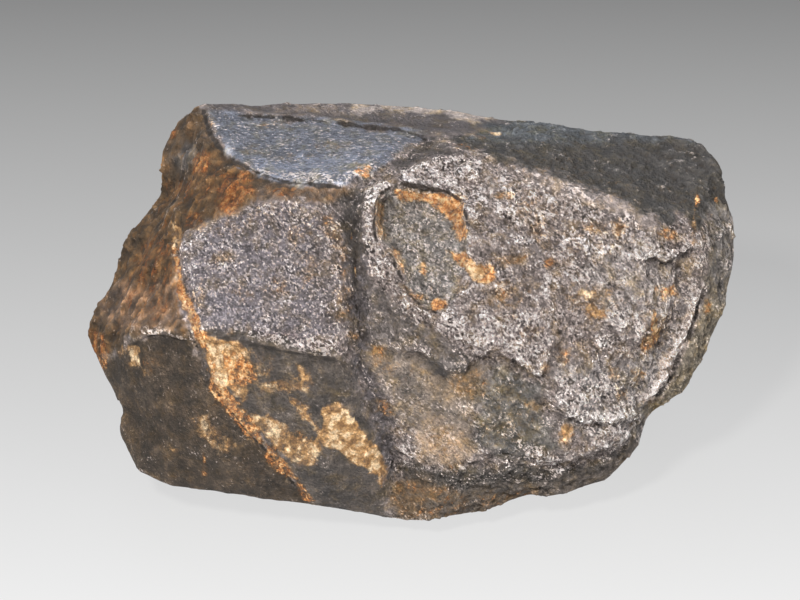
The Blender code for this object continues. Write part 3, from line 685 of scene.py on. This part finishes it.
class Surface:
    """The vertices of a mesh, in millimetres, and how the viewer of the broad side sees them."""

    def __init__(self, mesh):
        count = len(mesh.vertices)
        self.places = np.empty(count * 3)
        self.normals = np.empty(count * 3)
        mesh.vertices.foreach_get("co", self.places)
        mesh.vertex_normals.foreach_get("vector", self.normals)
        self.places = self.places.reshape(-1, 3)
        self.normals = self.normals.reshape(-1, 3)
        x, y, z = (self.places - MIDDLE).T
        up = z * math.cos(LEAN) + y * math.sin(LEAN)
        out = z * math.sin(LEAN) - y * math.cos(LEAN)
        spread = 1 - out / SIGHT_DISTANCE
        self.seen = np.column_stack([x, up]) / spread[:, None]
        turn = self.normals @ np.array((0, -math.cos(LEAN), math.sin(LEAN)))
        self.facing = smooth_step(*FACING_TURN, turn)
        self.rim = np.exp(-((turn / RIM_TURN) ** 2))
        self.front = np.flatnonzero(self.facing > 0)
        self.wander = self.blank()
        for seed, (size, height) in enumerate(WANDER):
            self.wander += height * ripple(self.places, size, 11 + seed)

    def blank(self):
        return np.zeros(len(self.places))

    def area(self, outline, blend, wander=AREA_WANDER):
        """1 inside an outline of the broad side and 0 outside, with an edge that wanders."""
        mask = self.blank()
        depth = depth_inside(self.seen[self.front], from_photo(outline))
        depth += wander * self.wander[self.front]
        mask[self.front] = smooth_step(-blend, blend, depth)
        return mask * self.facing

    def spot(self, x, y, half_width, half_height):
        """As area, for one ellipse."""
        mask = self.blank()
        away = self.seen[self.front] - from_photo((x, y))
        away /= (half_width * PIXEL, half_height * PIXEL)
        reach = np.hypot(away[:, 0], away[:, 1]) + SPOT_WANDER * self.wander[self.front]
        mask[self.front] = 1 - smooth_step(*SPOT_EDGE, reach)
        return mask * self.facing

    def line(self, chain, half_width):
        """1 on a chain of the broad side, fading to 0 at about twice the half width."""
        mask = self.blank()
        distance, _ = distance_to_line(self.seen[self.front], from_photo(chain))
        distance = np.maximum(distance + LINE_WANDER * self.wander[self.front], 0)
        mask[self.front] = np.exp(-((distance / half_width) ** 2))
        return mask * self.facing

    def strongest(self, areas=(), spots=(), lines=()):
        """The strongest of several areas, spots and lines at each place."""
        mask = self.blank()
        for shapes, draw in ((areas, self.area), (spots, self.spot), (lines, self.line)):
            for *shape, strength in shapes:
                mask = np.maximum(mask, strength * draw(*shape))
        return mask


def ledge_height(seen, line, height, reach, face):
    distance, side = distance_to_line(seen, line)
    signed = distance * side
    start, end = line[0], line[-1]
    length = np.linalg.norm(end - start)
    along = (seen - start) @ (end - start) / length
    ends = smooth_step(*LEDGE_RUN_OUT, along) * smooth_step(*LEDGE_RUN_OUT, length - along)
    rise = smooth_step(-face, face, signed)
    sink = np.exp(-np.maximum(signed, 0) / reach)
    scoop = LEDGE_SCOOP * np.exp(-2 * np.maximum(-signed, 0) / reach)
    return height * ends * (rise * sink - (1 - rise) * scoop)


def carving(surface):
    """How far the steps, furrows, ridges and the socket raise the broad side, in millimetres."""
    carved = surface.blank()
    front = surface.front
    wavy = surface.seen[front] + STEP_WANDER * surface.wander[front][:, None]
    for line, height, reach, face in LEDGES:
        carved[front] += ledge_height(wavy, from_photo(line), height, reach, face)
    for line, depth, half_width in FURROWS:
        carved -= depth * surface.line(line, half_width)
    for line, height, half_width in RIDGES:
        carved += height * surface.line(line, half_width)
    carved -= SOCKET_DEPTH * surface.area(SOCKET, SOCKET_WALL, WALL_WANDER)
    return carved * surface.facing


def crust_relief(places):
    """The crust's lumps, plates and broken steps."""
    height = np.zeros(len(places))
    for seed, (size, lump) in enumerate(CRUST_LUMPS):
        height += lump * ripple(places, size, seed)
    for seed, (size, plate) in enumerate(CRUST_PLATES):
        height += plate * plates(places, size, 40 + 7 * seed)
    return height + TERRACE_HEIGHT * terraces(places, TERRACE_SIZE, TERRACE_LEVELS, 15)


def relief(surface):
    """How far the fine surface stands out from the solid along its normal, in millimetres."""
    places = surface.places
    grain = stretched(places, GRAIN_DIRECTION, GRAIN_LENGTH)
    fine = FACE_LUMPS[1] * ripple(grain, FACE_LUMPS[0], 5)
    fine += FACE_PLATES[1] * plates(grain, FACE_PLATES[0], 60)
    flat = surface.strongest(FLAT_AREAS)
    height = crust_relief(grain) * (1 - flat) + fine * flat
    streaks = STREAKS[1] * ripple(stretched(places, STREAK_DIRECTION, STREAK_LENGTH), STREAKS[0], 8)
    height += streaks * surface.area(*STREAKY_AREA)
    clay = surface.strongest(RAISED_CLAY_AREAS)
    height += CLAY_PLATES[1] * clay * (CLAY_LEVEL + plates(places, CLAY_PLATES[0], 80))
    height += carving(surface)
    height *= 1 - RIM_WEAR * surface.rim
    return height * smooth_step(*REST_FADE, places[:, 2])


def settled(mesh, places, rounds, share=1.0):
    """Places after rounds of moving each vertex a share of the way to the middle of its neighbours."""
    count = len(places)
    edges = np.empty(len(mesh.edges) * 2, np.int32)
    mesh.edges.foreach_get("vertices", edges)
    a, b = edges.reshape(-1, 2).T
    neighbours = np.bincount(a, minlength=count) + np.bincount(b, minlength=count)
    for _ in range(rounds):
        sums = [np.bincount(a, places[b, i], count) + np.bincount(b, places[a, i], count) for i in range(3)]
        places = places + share * (np.column_stack(sums) / neighbours[:, None] - places)
    return places


def hollowness(mesh, surface):
    """How far each vertex lies below its smoothed surroundings, in millimetres, negative on a ridge."""
    smoothed = settled(mesh, surface.places, HOLLOW_ROUNDS)
    return ((smoothed - surface.places) * surface.normals).sum(axis=1)


def tones(surface):
    """The mineral's own colour at each vertex."""
    patches = ripple(surface.places, PATCH_SIZES[0], 21) + 0.4 * ripple(surface.places, PATCH_SIZES[1], 22)
    patches = smooth_step(-0.25, 0.3, patches)
    dark, pale = np.array(HIDDEN_TONES)
    hidden = dark + patches[:, None] * (pale - dark)
    tone = hidden + surface.facing[:, None] * (np.array(CRUST_TONE) - hidden)
    for outline, blend, colour in TONES:
        tone += surface.area(outline, blend, TONE_WANDER)[:, None] * (np.array(colour) - tone)
    blotches = ripple(surface.places, BLOTCH_SIZES[0], 23) + ripple(surface.places, BLOTCH_SIZES[1], 24)
    blotches *= surface.strongest(BLOTCHED_AREAS)
    return tone * 2 ** (blotches[:, None] * MOTTLE)


def hidden_stain(surface, hollows, size, seed, threshold, strength):
    """Patches of stain on the hidden side, mostly in its hollows."""
    field = ripple(surface.places, size, seed) + 0.5 * ripple(surface.places, size / 3, seed + 1)
    field += 0.25 * np.clip(hollows / STAINED_DEPTH, -1, 1)
    stain = smooth_step(threshold, threshold + 0.35, field) * (1 - surface.facing)
    return strength * stain


def store(mesh, name, values):
    attribute = mesh.attributes.new(name, "FLOAT", "POINT")
    attribute.data.foreach_set("value", np.asarray(values, np.float32))


def store_colour(mesh, name, values):
    attribute = mesh.attributes.new(name, "FLOAT_COLOR", "POINT")
    with_alpha = np.column_stack([values, np.ones(len(values))])
    attribute.data.foreach_set("color", with_alpha.astype(np.float32).ravel())


def paint_masks(mesh):
    """Stores the tone and the masks that the material reads."""
    surface = Surface(mesh)
    hollows = hollowness(mesh, surface)
    limonite = surface.strongest(LIMONITE_AREAS, LIMONITE_SPOTS)
    clay = surface.strongest(RAISED_CLAY_AREAS + FLAT_CLAY_AREAS, CLAY_SPOTS)
    dull = np.maximum(surface.strongest(DULL_AREAS), RIM_DULL * surface.rim)
    # Where the crust gets painted glints, pinkish white highlights painted into its colour.
    painted_glint_density = surface.strongest(PAINTED_GLINT_AREAS, PAINTED_GLINT_SPOTS)
    store_colour(mesh, "tone", tones(surface))
    store(mesh, "limonite", np.maximum(limonite, hidden_stain(surface, hollows, *HIDDEN_LIMONITE)))
    store(mesh, "clay", np.maximum(clay, hidden_stain(surface, hollows, *HIDDEN_CLAY)))
    store(mesh, "painted_glint_density", np.maximum(CRUST_PAINTED_GLINTS * (1 - dull), painted_glint_density))
    store(mesh, "dull", dull)
    store(mesh, "calm", surface.strongest(CALM_AREAS))
    # The dark lines are painted shade along grooves, cracks, ledges and under overhangs.
    store(mesh, "dark", surface.strongest(lines=DARK_LINES))
    store(mesh, "even", surface.strongest(EVEN_AREAS))
    store(mesh, "hollow", hollows / HOLLOW_DEPTH)
    store(mesh, "streaky", surface.area(*STREAKY_AREA))
    store(mesh, "slope", surface.area(*SLOPE_AREA))


def apply_modifiers(piece):
    graph = bpy.context.evaluated_depsgraph_get()
    piece.data = bpy.data.meshes.new_from_object(piece.evaluated_get(graph), depsgraph=graph)
    piece.modifiers.clear()


def move_vertices(mesh, places):
    mesh.vertices.foreach_set("co", places.ravel())
    mesh.update()


def even_out(piece):
    """Gives a piece an even, fine mesh with slightly worn edges."""
    remesh = piece.modifiers.new("even mesh", "REMESH")
    remesh.mode = "VOXEL"
    remesh.voxel_size = EVEN_CELL
    wear = piece.modifiers.new("worn edges", "SMOOTH")
    wear.iterations = WEAR_ROUNDS
    apply_modifiers(piece)


def add_relief(mesh):
    """Wears the gully, and then raises the small relief, none of it below the rest face."""
    surface = Surface(mesh)
    worn = WORN_SHARE * surface.line(GULLY, WORN_WIDTH)
    move_vertices(mesh, settled(mesh, surface.places, WORN_ROUNDS, worn[:, None]))
    surface = Surface(mesh)
    raised = surface.places + surface.normals * relief(surface)[:, None]
    raised[:, 2] = np.maximum(raised[:, 2], 0)
    move_vertices(mesh, raised)


def thin_out(piece):
    piece.data.calc_loop_triangles()
    thin = piece.modifiers.new("thin out", "DECIMATE")
    thin.ratio = min(1.0, TRIANGLES / len(piece.data.loop_triangles))
    thin.use_collapse_triangulate = True
    apply_modifiers(piece)


def crystal_piece(solid):
    """The crystal group with its fine surface, in place of the plain solid."""
    mesh = solid.data.copy()
    mesh.name = "crystal"
    mesh.materials.clear()
    mesh.transform(Matrix.Scale(1 / MM, 4))
    piece = bpy.data.objects.new("crystal", mesh)
    bpy.context.scene.collection.objects.link(piece)
    even_out(piece)
    add_relief(piece.data)
    thin_out(piece)
    paint_masks(piece.data)
    piece.data.transform(Matrix.Scale(MM, 4))
    piece.data.shade_smooth()
    piece.data.materials.append(Mineral().material)
    return piece


class Value:
    """What one of a material's nodes gives, which can stand in a sum as a plain number does."""

    def __init__(self, graph, socket):
        self.graph = graph
        self.socket = socket

    def __add__(self, other):
        return self.graph.maths("ADD", self, other)

    def __mul__(self, other):
        return self.graph.maths("MULTIPLY", self, other)

    def __sub__(self, other):
        return self.graph.maths("SUBTRACT", self, other)

    def __rsub__(self, other):
        return self.graph.maths("SUBTRACT", other, self)

    def __rpow__(self, other):
        return self.graph.maths("POWER", other, self)

    __radd__ = __add__
    __rmul__ = __mul__


class Graph:
    """A material's nodes, made and linked in one call each."""

    def __init__(self, name):
        self.material = bpy.data.materials.new(name)
        self.material.use_nodes = True
        self.nodes = self.material.node_tree.nodes
        self.links = self.material.node_tree.links
        self.nodes.clear()

    def node(self, kind, inputs=None, **settings):
        made = self.nodes.new(kind)
        for name, value in settings.items():
            setattr(made, name, value)
        for key, value in (inputs or {}).items():
            if isinstance(value, Value):
                self.links.new(value.socket, made.inputs[key])
            else:
                made.inputs[key].default_value = value
        return made

    def value(self, kind, inputs=None, output=0, **settings):
        return Value(self, self.node(kind, inputs, **settings).outputs[output])

    def attribute(self, name, output="Fac"):
        return self.value("ShaderNodeAttribute", output=output, attribute_name=name)

    def maths(self, operation, a, b=0.0):
        return self.value("ShaderNodeMath", {0: a, 1: b}, operation=operation)

    def clamped(self, number):
        return self.value("ShaderNodeClamp", {0: number})

    def between(self, number, low, high):
        """0 where the number is below low and 1 above high, with a smooth change between."""
        inputs = {"Value": number, "From Min": low, "From Max": high}
        return self.value("ShaderNodeMapRange", inputs, interpolation_type="SMOOTHSTEP")

    def vectors(self, operation, a, b, output="Vector"):
        return self.value("ShaderNodeVectorMath", {0: a, 1: b}, output, operation=operation)

    def scaled(self, vector, times):
        return self.value("ShaderNodeVectorMath", {0: vector, "Scale": times}, operation="SCALE")

    def mixed(self, share, a, b):
        """A mix of two colours."""
        return self.value("ShaderNodeMix", {0: share, 6: a, 7: b}, 2, data_type="RGBA")

    def mixed_numbers(self, share, a, b):
        return self.value("ShaderNodeMix", {0: share, 2: a, 3: b})

    def switched(self, mask, limit, a, b):
        """The places a, and the places b where the mask is above a limit."""
        share = self.maths("GREATER_THAN", mask, limit)
        return self.value("ShaderNodeMix", {0: share, 4: a, 5: b}, 1, data_type="VECTOR")

    def noise(self, places, scale, detail, roughness, output=0):
        inputs = {"Vector": places, "Scale": scale, "Detail": detail, "Roughness": roughness}
        return self.value("ShaderNodeTexNoise", inputs, output)

    def centred(self, places, scale, detail, roughness):
        """Noise from about -0.5 to 0.5."""
        return self.noise(places, scale, detail, roughness) - 0.5

    def ramp(self, share, stops):
        made = self.node("ShaderNodeValToRGB", {0: share})
        elements = made.color_ramp.elements
        while len(elements) < len(stops):
            elements.new(0.5)
        for element, (position, colour) in zip(elements, stops):
            element.position = position
            element.color = (*colour, 1.0)
        return Value(self, made.outputs[0])


# The material's grain: the direction of its parts, and how long and wide they are.
CRUST_GRAIN = (GRAIN_DIRECTION, 1.2, 0.92)
LEVEL_GRAIN = (LEVEL_DIRECTION, 1.6, 0.85)
SIDE_GRAIN = (STREAK_DIRECTION, 2.0, 0.8)
SLOPE_GRAIN = 0.6

# Above these, the masks bring the level grain, the slope's grain and the coarse cells.
LEVEL_LIMIT = 0.75
SLOPE_LIMIT = 0.85
COARSE_LIMIT = 0.7

# Noises: the scale, the scale along the streaks, the detail and the roughness.
FINE = (7.0, 5.5, 3.0, 0.75)
COARSE = (1.9, 1.5, 4.0, 0.7)
BROKEN = (3.0, 1.6, 5.0, 0.75)

# Noises: the scale, the detail and the roughness.
CLUSTERS = (1.1, 4.0, 0.65)
CELL_EDGES = (5.0, 1.0, 0.5)
SCALES = (1.4, 3.0, 0.55)
WARMTH = (1.2, 5.0, 0.7)
RUST = (4.2, 5.0, 0.75)
RUST_ON_CLAY = (2.4, 4.0, 0.7)
CREAM = (1.9, 4.0, 0.62)

# Small crystal faces: cells to the millimetre, how far noise bends their edges, and how they tilt.
CELLS_PER_MM = 11.0
COARSE_CELLS_PER_MM = 9.0
CELL_BEND = 0.12
FACET_TILT = 2.8

# Thin scales of the crust: how many layers they lie in, and their height in the relief.
SCALE_LEVELS = 13.0
SCALE_HEIGHT = 0.35
BUMP_HEIGHT = 0.32

# How much the fine grain, the coarse grain and the cells shade the tone, in doublings, and how it is tinted.
FINE_SHADE = 5.0
COARSE_SHADE = 3.4
CELL_SHADE = 2.2
WARM_TINT = (1.0, 0.25, -1.5)
COLDEST = -0.02

# Where each mask begins to show and where it shows in full.
CLUSTER_EDGE = (-0.12, 0.12)
SCALE_LIP = (0.65, 0.9)
SCALE_FOOT = (0.3, 0.0)
PAINTED_GLINT_EDGE = (0.25, 0.35)
BRIGHTEST_GLINT_EDGE = (0.4, 0.62)
FILM_EDGE = (0.1, 0.6)
THICK_EDGE = (0.5, 1.0)
CLAY_EDGE = (0.2, 0.95)
PURE_CLAY = (0.88, 1.05)
RUSTY_EDGE = (0.52, 0.6)
GROOVE_EDGE = (0.3, 0.75)
HOLLOW_EDGE = (0.4, 2.6)
BROKEN_EDGE = (-0.35, 0.05)
RIDGE_EDGE = (0.3, 2.0)

# Colours of the painted glints: pinkish white highlights painted on the small crystal faces, and the
# brightest of them.
PAINTED_GLINT_COLOUR = (0.85, 0.725, 0.68, 1.0)
BRIGHTEST_PAINTED_GLINT_COLOUR = (1.0, 0.92, 0.89, 1.0)
# The colour of the painted shade in hollows and along the dark lines.
PAINTED_SHADE_COLOUR = (0.032, 0.025, 0.021, 1.0)
FILM_TINT = (1.1, 0.93, 0.7)
SIDE_TINT = (0.355, 0.27, 0.19)
LIMONITE_STOPS = [
    (0.4, (0.15, 0.056, 0.02)),
    (0.48, (0.475, 0.17, 0.048)),
    (0.55, (0.84, 0.352, 0.097)),
    (0.62, (1.0, 0.68, 0.35)),
]
CLAY_STOPS = [
    (0.41, (0.25, 0.132, 0.055)),
    (0.47, (0.42, 0.235, 0.092)),
    (0.54, (0.555, 0.33, 0.153)),
    (0.62, (0.88, 0.65, 0.4)),
]


class Mineral(Graph):
    """The crystal group's material, made of its own nodes and of the masks that paint_masks stores."""

    def __init__(self):
        super().__init__("bismutotantalite")
        self.places = self.scaled(self.value("ShaderNodeTexCoord", output="Object"), 1 / MM)
        self.streaky = self.attribute("streaky")
        self.painted_glint_density = self.attribute("painted_glint_density")
        self.dull = self.attribute("dull")
        self.calm = self.attribute("calm")
        self.even = self.attribute("even")
        self.hollow = self.attribute("hollow")
        self.make_grain()
        self.make_facets()
        self.make_scales()
        self.find_painted_glints()
        # Painted glints: pinkish white highlights mixed into the mineral's colour.
        painted_glint_colour = self.mixed(self.brightest_painted_glint, PAINTED_GLINT_COLOUR, BRIGHTEST_PAINTED_GLINT_COLOUR)
        colour = self.mixed(self.painted_glint, self.mineral_colour(), painted_glint_colour)
        colour = self.with_limonite(colour)
        colour = self.with_clay(colour)
        colour = self.with_painted_shade_and_highlight(colour)
        self.finish_surface(colour)

    def grain_places(self, direction, long, wide):
        """Texture places for parts of the given length and width along a direction."""
        turn = Vector(direction_line(direction)).to_track_quat("X", "Z").to_euler()
        inputs = {"Vector": self.places, "Rotation": turn, "Scale": (long, wide, wide)}
        return self.value("ShaderNodeMapping", inputs, vector_type="TEXTURE")

    def streaked(self, places, scale, streak_scale, detail, roughness):
        """Noise as centred, drawn out where the surface is streaky."""
        plain = self.centred(places, scale, detail, roughness)
        drawn = self.centred(self.side, streak_scale, detail, roughness)
        return self.mixed_numbers(self.streaky, plain, drawn)

    def make_grain(self):
        """Fine and coarse grain, drawn out along the left side's streaks."""
        grain = self.grain_places(*CRUST_GRAIN)
        grain = self.switched(self.even, LEVEL_LIMIT, grain, self.grain_places(*LEVEL_GRAIN))
        larger = self.scaled(self.places, SLOPE_GRAIN)
        self.grain = self.switched(self.attribute("slope"), SLOPE_LIMIT, grain, larger)
        self.side = self.grain_places(*SIDE_GRAIN)
        self.fine = self.streaked(self.grain, *FINE)
        self.coarse = self.streaked(self.grain, *COARSE)
        self.broken = self.streaked(self.places, *BROKEN)
        self.cluster = self.centred(self.grain, *CLUSTERS) * (1 - 0.75 * self.even)

    def make_facets(self):
        """Small crystal faces: each cell has a shade and a tilt of its own."""
        bend = self.scaled(self.noise(self.grain, *CELL_EDGES, "Color"), CELL_BEND)
        bent = self.vectors("ADD", self.grain, bend)
        coarse = self.maths("GREATER_THAN", self.painted_glint_density, COARSE_LIMIT)
        scale = coarse * (COARSE_CELLS_PER_MM - CELLS_PER_MM) + CELLS_PER_MM
        cells = self.node("ShaderNodeTexVoronoi", {"Vector": bent, "Scale": scale})
        own = Value(self, cells.outputs["Color"])
        self.cell = self.value("ShaderNodeSeparateColor", {0: own}) - 0.5
        tilt = self.vectors("SUBTRACT", own, (0.5, 0.5, 0.5))
        offset = self.vectors("SUBTRACT", bent, Value(self, cells.outputs["Position"]))
        self.facet = self.vectors("DOT_PRODUCT", offset, tilt, "Value")

    def make_scales(self):
        """Thin scales of the crust, whose curved edges stand up a little in the bump and draw painted
        glints.
        """
        scaly = (1 - self.dull) * (1 - self.even)
        levels = 0.8 * self.fine + self.centred(self.grain, *SCALES) * SCALE_LEVELS
        self.scale = self.maths("FRACT", levels) * scaly
        edge = self.between(self.scale, *SCALE_LIP) - self.between(self.scale, *SCALE_FOOT)
        self.scale_glint_edge = edge * scaly

    def find_painted_glints(self):
        """Painted glints, pinkish white highlights in clusters, and the brightest of them."""
        likely = 1.4 * self.cluster + (0.55 * self.painted_glint_density - 0.275) - 0.05 * self.hollow
        likely = self.maths("MINIMUM", likely, 0.35)
        likely = likely + 1.6 * self.fine + 0.75 * self.cell + 0.22 * self.scale_glint_edge
        self.brightest_painted_glint = self.between(likely, *BRIGHTEST_GLINT_EDGE)
        painted_glint = self.between(likely, *PAINTED_GLINT_EDGE)
        self.painted_glint = painted_glint * (1 - 0.7 * self.calm) * (1 - 0.8 * self.dull)

    def mineral_colour(self):
        """The mineral's tone, shaded and tinted by the grain."""
        contrast = 0.5 * self.between(self.cluster, *CLUSTER_EDGE) + 0.55
        contrast = contrast * (1 - self.calm) * (0.75 * self.painted_glint_density + 0.75)
        shade = (CELL_SHADE * self.cell + FINE_SHADE * self.fine) * (1 - 0.35 * self.dull)
        shade = shade + COARSE_SHADE * self.coarse
        tone = self.scaled(self.attribute("tone", "Color"), 2 ** (shade * contrast))
        warmth = self.maths("MAXIMUM", self.centred(self.places, *WARMTH), COLDEST)
        tint = self.vectors("ADD", self.vectors("MULTIPLY", warmth, WARM_TINT), (1.0, 1.0, 1.0))
        return self.vectors("MULTIPLY", tone, tint)

    def with_limonite(self, colour):
        """Brown stain, with edges broken by noise: a thin film, and thick orange where it is strong."""
        limonite = self.attribute("limonite") + 2.2 * self.broken
        film = self.between(limonite, *FILM_EDGE)
        colour = self.mixed(film, colour, self.vectors("MULTIPLY", colour, FILM_TINT))
        self.thick = self.between(limonite, *THICK_EDGE)
        rust = self.noise(self.places, *RUST) + 0.1 * self.thick - 0.045
        rust = self.ramp(rust, LIMONITE_STOPS)
        rust = self.mixed(self.streaky, rust, self.vectors("MULTIPLY", rust, SIDE_TINT))
        return self.mixed(0.9 * self.thick, colour, rust)

    def with_clay(self, colour):
        """Cream clay, with edges broken by noise and with orange showing through it in places."""
        mask = self.attribute("clay")
        clay = self.between(mask + 1.7 * self.broken, *CLAY_EDGE)
        rusty = self.noise(self.places, *RUST_ON_CLAY) + 0.1 * self.attribute("limonite")
        rusty = rusty - 0.15 * self.between(mask, *PURE_CLAY)
        rusty = self.thick * self.between(rusty, *RUSTY_EDGE)
        self.clay = self.clamped(clay - 0.85 * rusty)
        cream = self.noise(self.places, *CREAM) + 0.1 * self.clay - 0.06
        grainy = 0.6 * self.cell + 2.5 * self.fine
        cream = self.scaled(self.ramp(cream, CLAY_STOPS), 2**grainy)
        return self.mixed(self.clay, colour, cream)

    def with_painted_shade_and_highlight(self, colour):
        """Painted shade in the hollows and along the dark lines, and painted highlights that make the ridges
        slightly paler.
        """
        painted_groove_shade = self.between(self.attribute("dark") + 1.3 * self.broken, *GROOVE_EDGE)
        painted_shade = self.between(self.hollow, *HOLLOW_EDGE) * self.between(self.broken, *BROKEN_EDGE)
        painted_shade = self.clamped(0.5 * painted_shade + 0.9 * painted_groove_shade)
        ridge_highlight = self.between(-1 * self.hollow, *RIDGE_EDGE)
        return self.scaled(self.mixed(painted_shade, colour, PAINTED_SHADE_COLOUR), 1 + 0.5 * ridge_highlight)

    def finish_surface(self, colour):
        """The bare mineral's metallic glint, the roughness and the finest relief."""
        bare = 1 - self.maths("MAXIMUM", self.thick, self.clay)
        glossy = bare * (1 - 0.75 * self.dull)
        metallic = glossy * (0.3 + 0.4 * self.painted_glint - 0.27 * self.brightest_painted_glint)
        rough = self.clamped(0.85 - 0.45 * glossy - 0.4 * self.cluster - 0.12 * self.painted_glint)
        tilt = FACET_TILT * (1 - 0.7 * self.dull)
        bumps = self.fine + 0.8 * self.coarse + tilt * self.facet + SCALE_HEIGHT * self.scale
        inputs = {"Strength": 1.0, "Distance": BUMP_HEIGHT * MM, "Height": bumps}
        bump = self.value("ShaderNodeBump", inputs)
        inputs = {"Base Color": colour, "Metallic": metallic, "Roughness": rough, "Normal": bump}
        shader = self.value("ShaderNodeBsdfPrincipled", inputs)
        self.node("ShaderNodeOutputMaterial", {"Surface": shader})


# The floor: a pale light table, whose light falls off towards its back. Sizes from here on are in metres,
# and the front and the back each have a place and the strength of the light there.
FLOOR_RADIUS = 1.5
FLOOR_FRONT = (-0.015, 0.83)
FLOOR_BACK = (0.046, 0.15)
FLOOR_GAP = 0.00002
FLOOR_DIFFUSE_SHARE = 0.06
FLOOR_GLOW = (1.0, 1.0, 1.0, 1.0)
FLOOR_GREY = (0.7, 0.7, 0.7, 1.0)


def floor_piece():
    mesh = bpy.data.meshes.new("floor")
    corners = [(x * FLOOR_RADIUS, y * FLOOR_RADIUS, 0.0) for x, y in ((-1, -1), (1, -1), (1, 1), (-1, 1))]
    mesh.from_pydata(corners, [], [(0, 1, 2, 3)])
    floor = bpy.data.objects.new("floor", mesh)
    floor.location.z = -FLOOR_GAP
    bpy.context.scene.collection.objects.link(floor)
    graph = Graph("floor")
    at = graph.value("ShaderNodeTexCoord", output="Object")
    inputs = dict(zip(("From Min", "To Min", "From Max", "To Max"), FLOOR_FRONT + FLOOR_BACK))
    inputs["Value"] = graph.value("ShaderNodeSeparateXYZ", {0: at}, "Y")
    glow = graph.value("ShaderNodeMapRange", inputs)
    lit = graph.value("ShaderNodeEmission", {"Color": FLOOR_GLOW, "Strength": glow})
    plain = graph.value("ShaderNodeBsdfDiffuse", {"Color": FLOOR_GREY})
    both = graph.value("ShaderNodeMixShader", {0: FLOOR_DIFFUSE_SHARE, 1: lit, 2: plain})
    graph.node("ShaderNodeOutputMaterial", {"Surface": both})
    mesh.materials.append(graph.material)


# What the camera sees lies between these distances, and the world around is grey.
CLIP = (0.01, 10.0)
WORLD_COLOUR = (0.2, 0.2, 0.2, 1.0)

# Area lights: name, place in millimetres, diameter in millimetres, watts and colour.
LIGHTS = [
    ("key", (-90, -190, 260), 45, 1.74, (1.0, 0.985, 0.96)),
    ("fill", (220, -160, 150), 160, 0.32, (1.0, 0.98, 0.96)),
    ("cool", (-60, 220, 260), 160, 0.52, (0.80, 0.88, 1.0)),
]


def light_scene():
    for name, place, diameter, watts, colour in LIGHTS:
        light = bpy.data.lights.new(name, "AREA")
        light.shape = "DISK"
        light.size = diameter * MM
        light.energy = watts
        light.color = colour
        lamp = bpy.data.objects.new(name, light)
        lamp.location = Vector(place) * MM
        lamp.rotation_euler = (Vector(MIDDLE) * MM - lamp.location).to_track_quat("-Z", "Y").to_euler()
        bpy.context.scene.collection.objects.link(lamp)
    world = bpy.data.worlds.new("studio")
    world.use_nodes = True
    world.node_tree.nodes["Background"].inputs[0].default_value = WORLD_COLOUR
    bpy.context.scene.world = world
    bpy.context.scene.view_settings.view_transform = "Standard"


def place_camera():
    data = bpy.data.cameras.new("camera")
    data.lens = LENS
    data.sensor_width = SENSOR
    data.clip_start, data.clip_end = CLIP
    camera = bpy.data.objects.new("camera", data)
    back = Vector((0, -math.cos(LEAN), math.sin(LEAN)))
    camera.location = (Vector(MIDDLE) + back * SIGHT_DISTANCE) * MM
    camera.rotation_euler = (math.pi / 2 - LEAN, 0, 0)
    bpy.context.scene.collection.objects.link(camera)
    bpy.context.scene.camera = camera


place_camera()
light_scene()
floor_piece()
crystal = crystal_piece(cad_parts["crystal_group"])
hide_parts("crystal_group")
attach(crystal, "root")
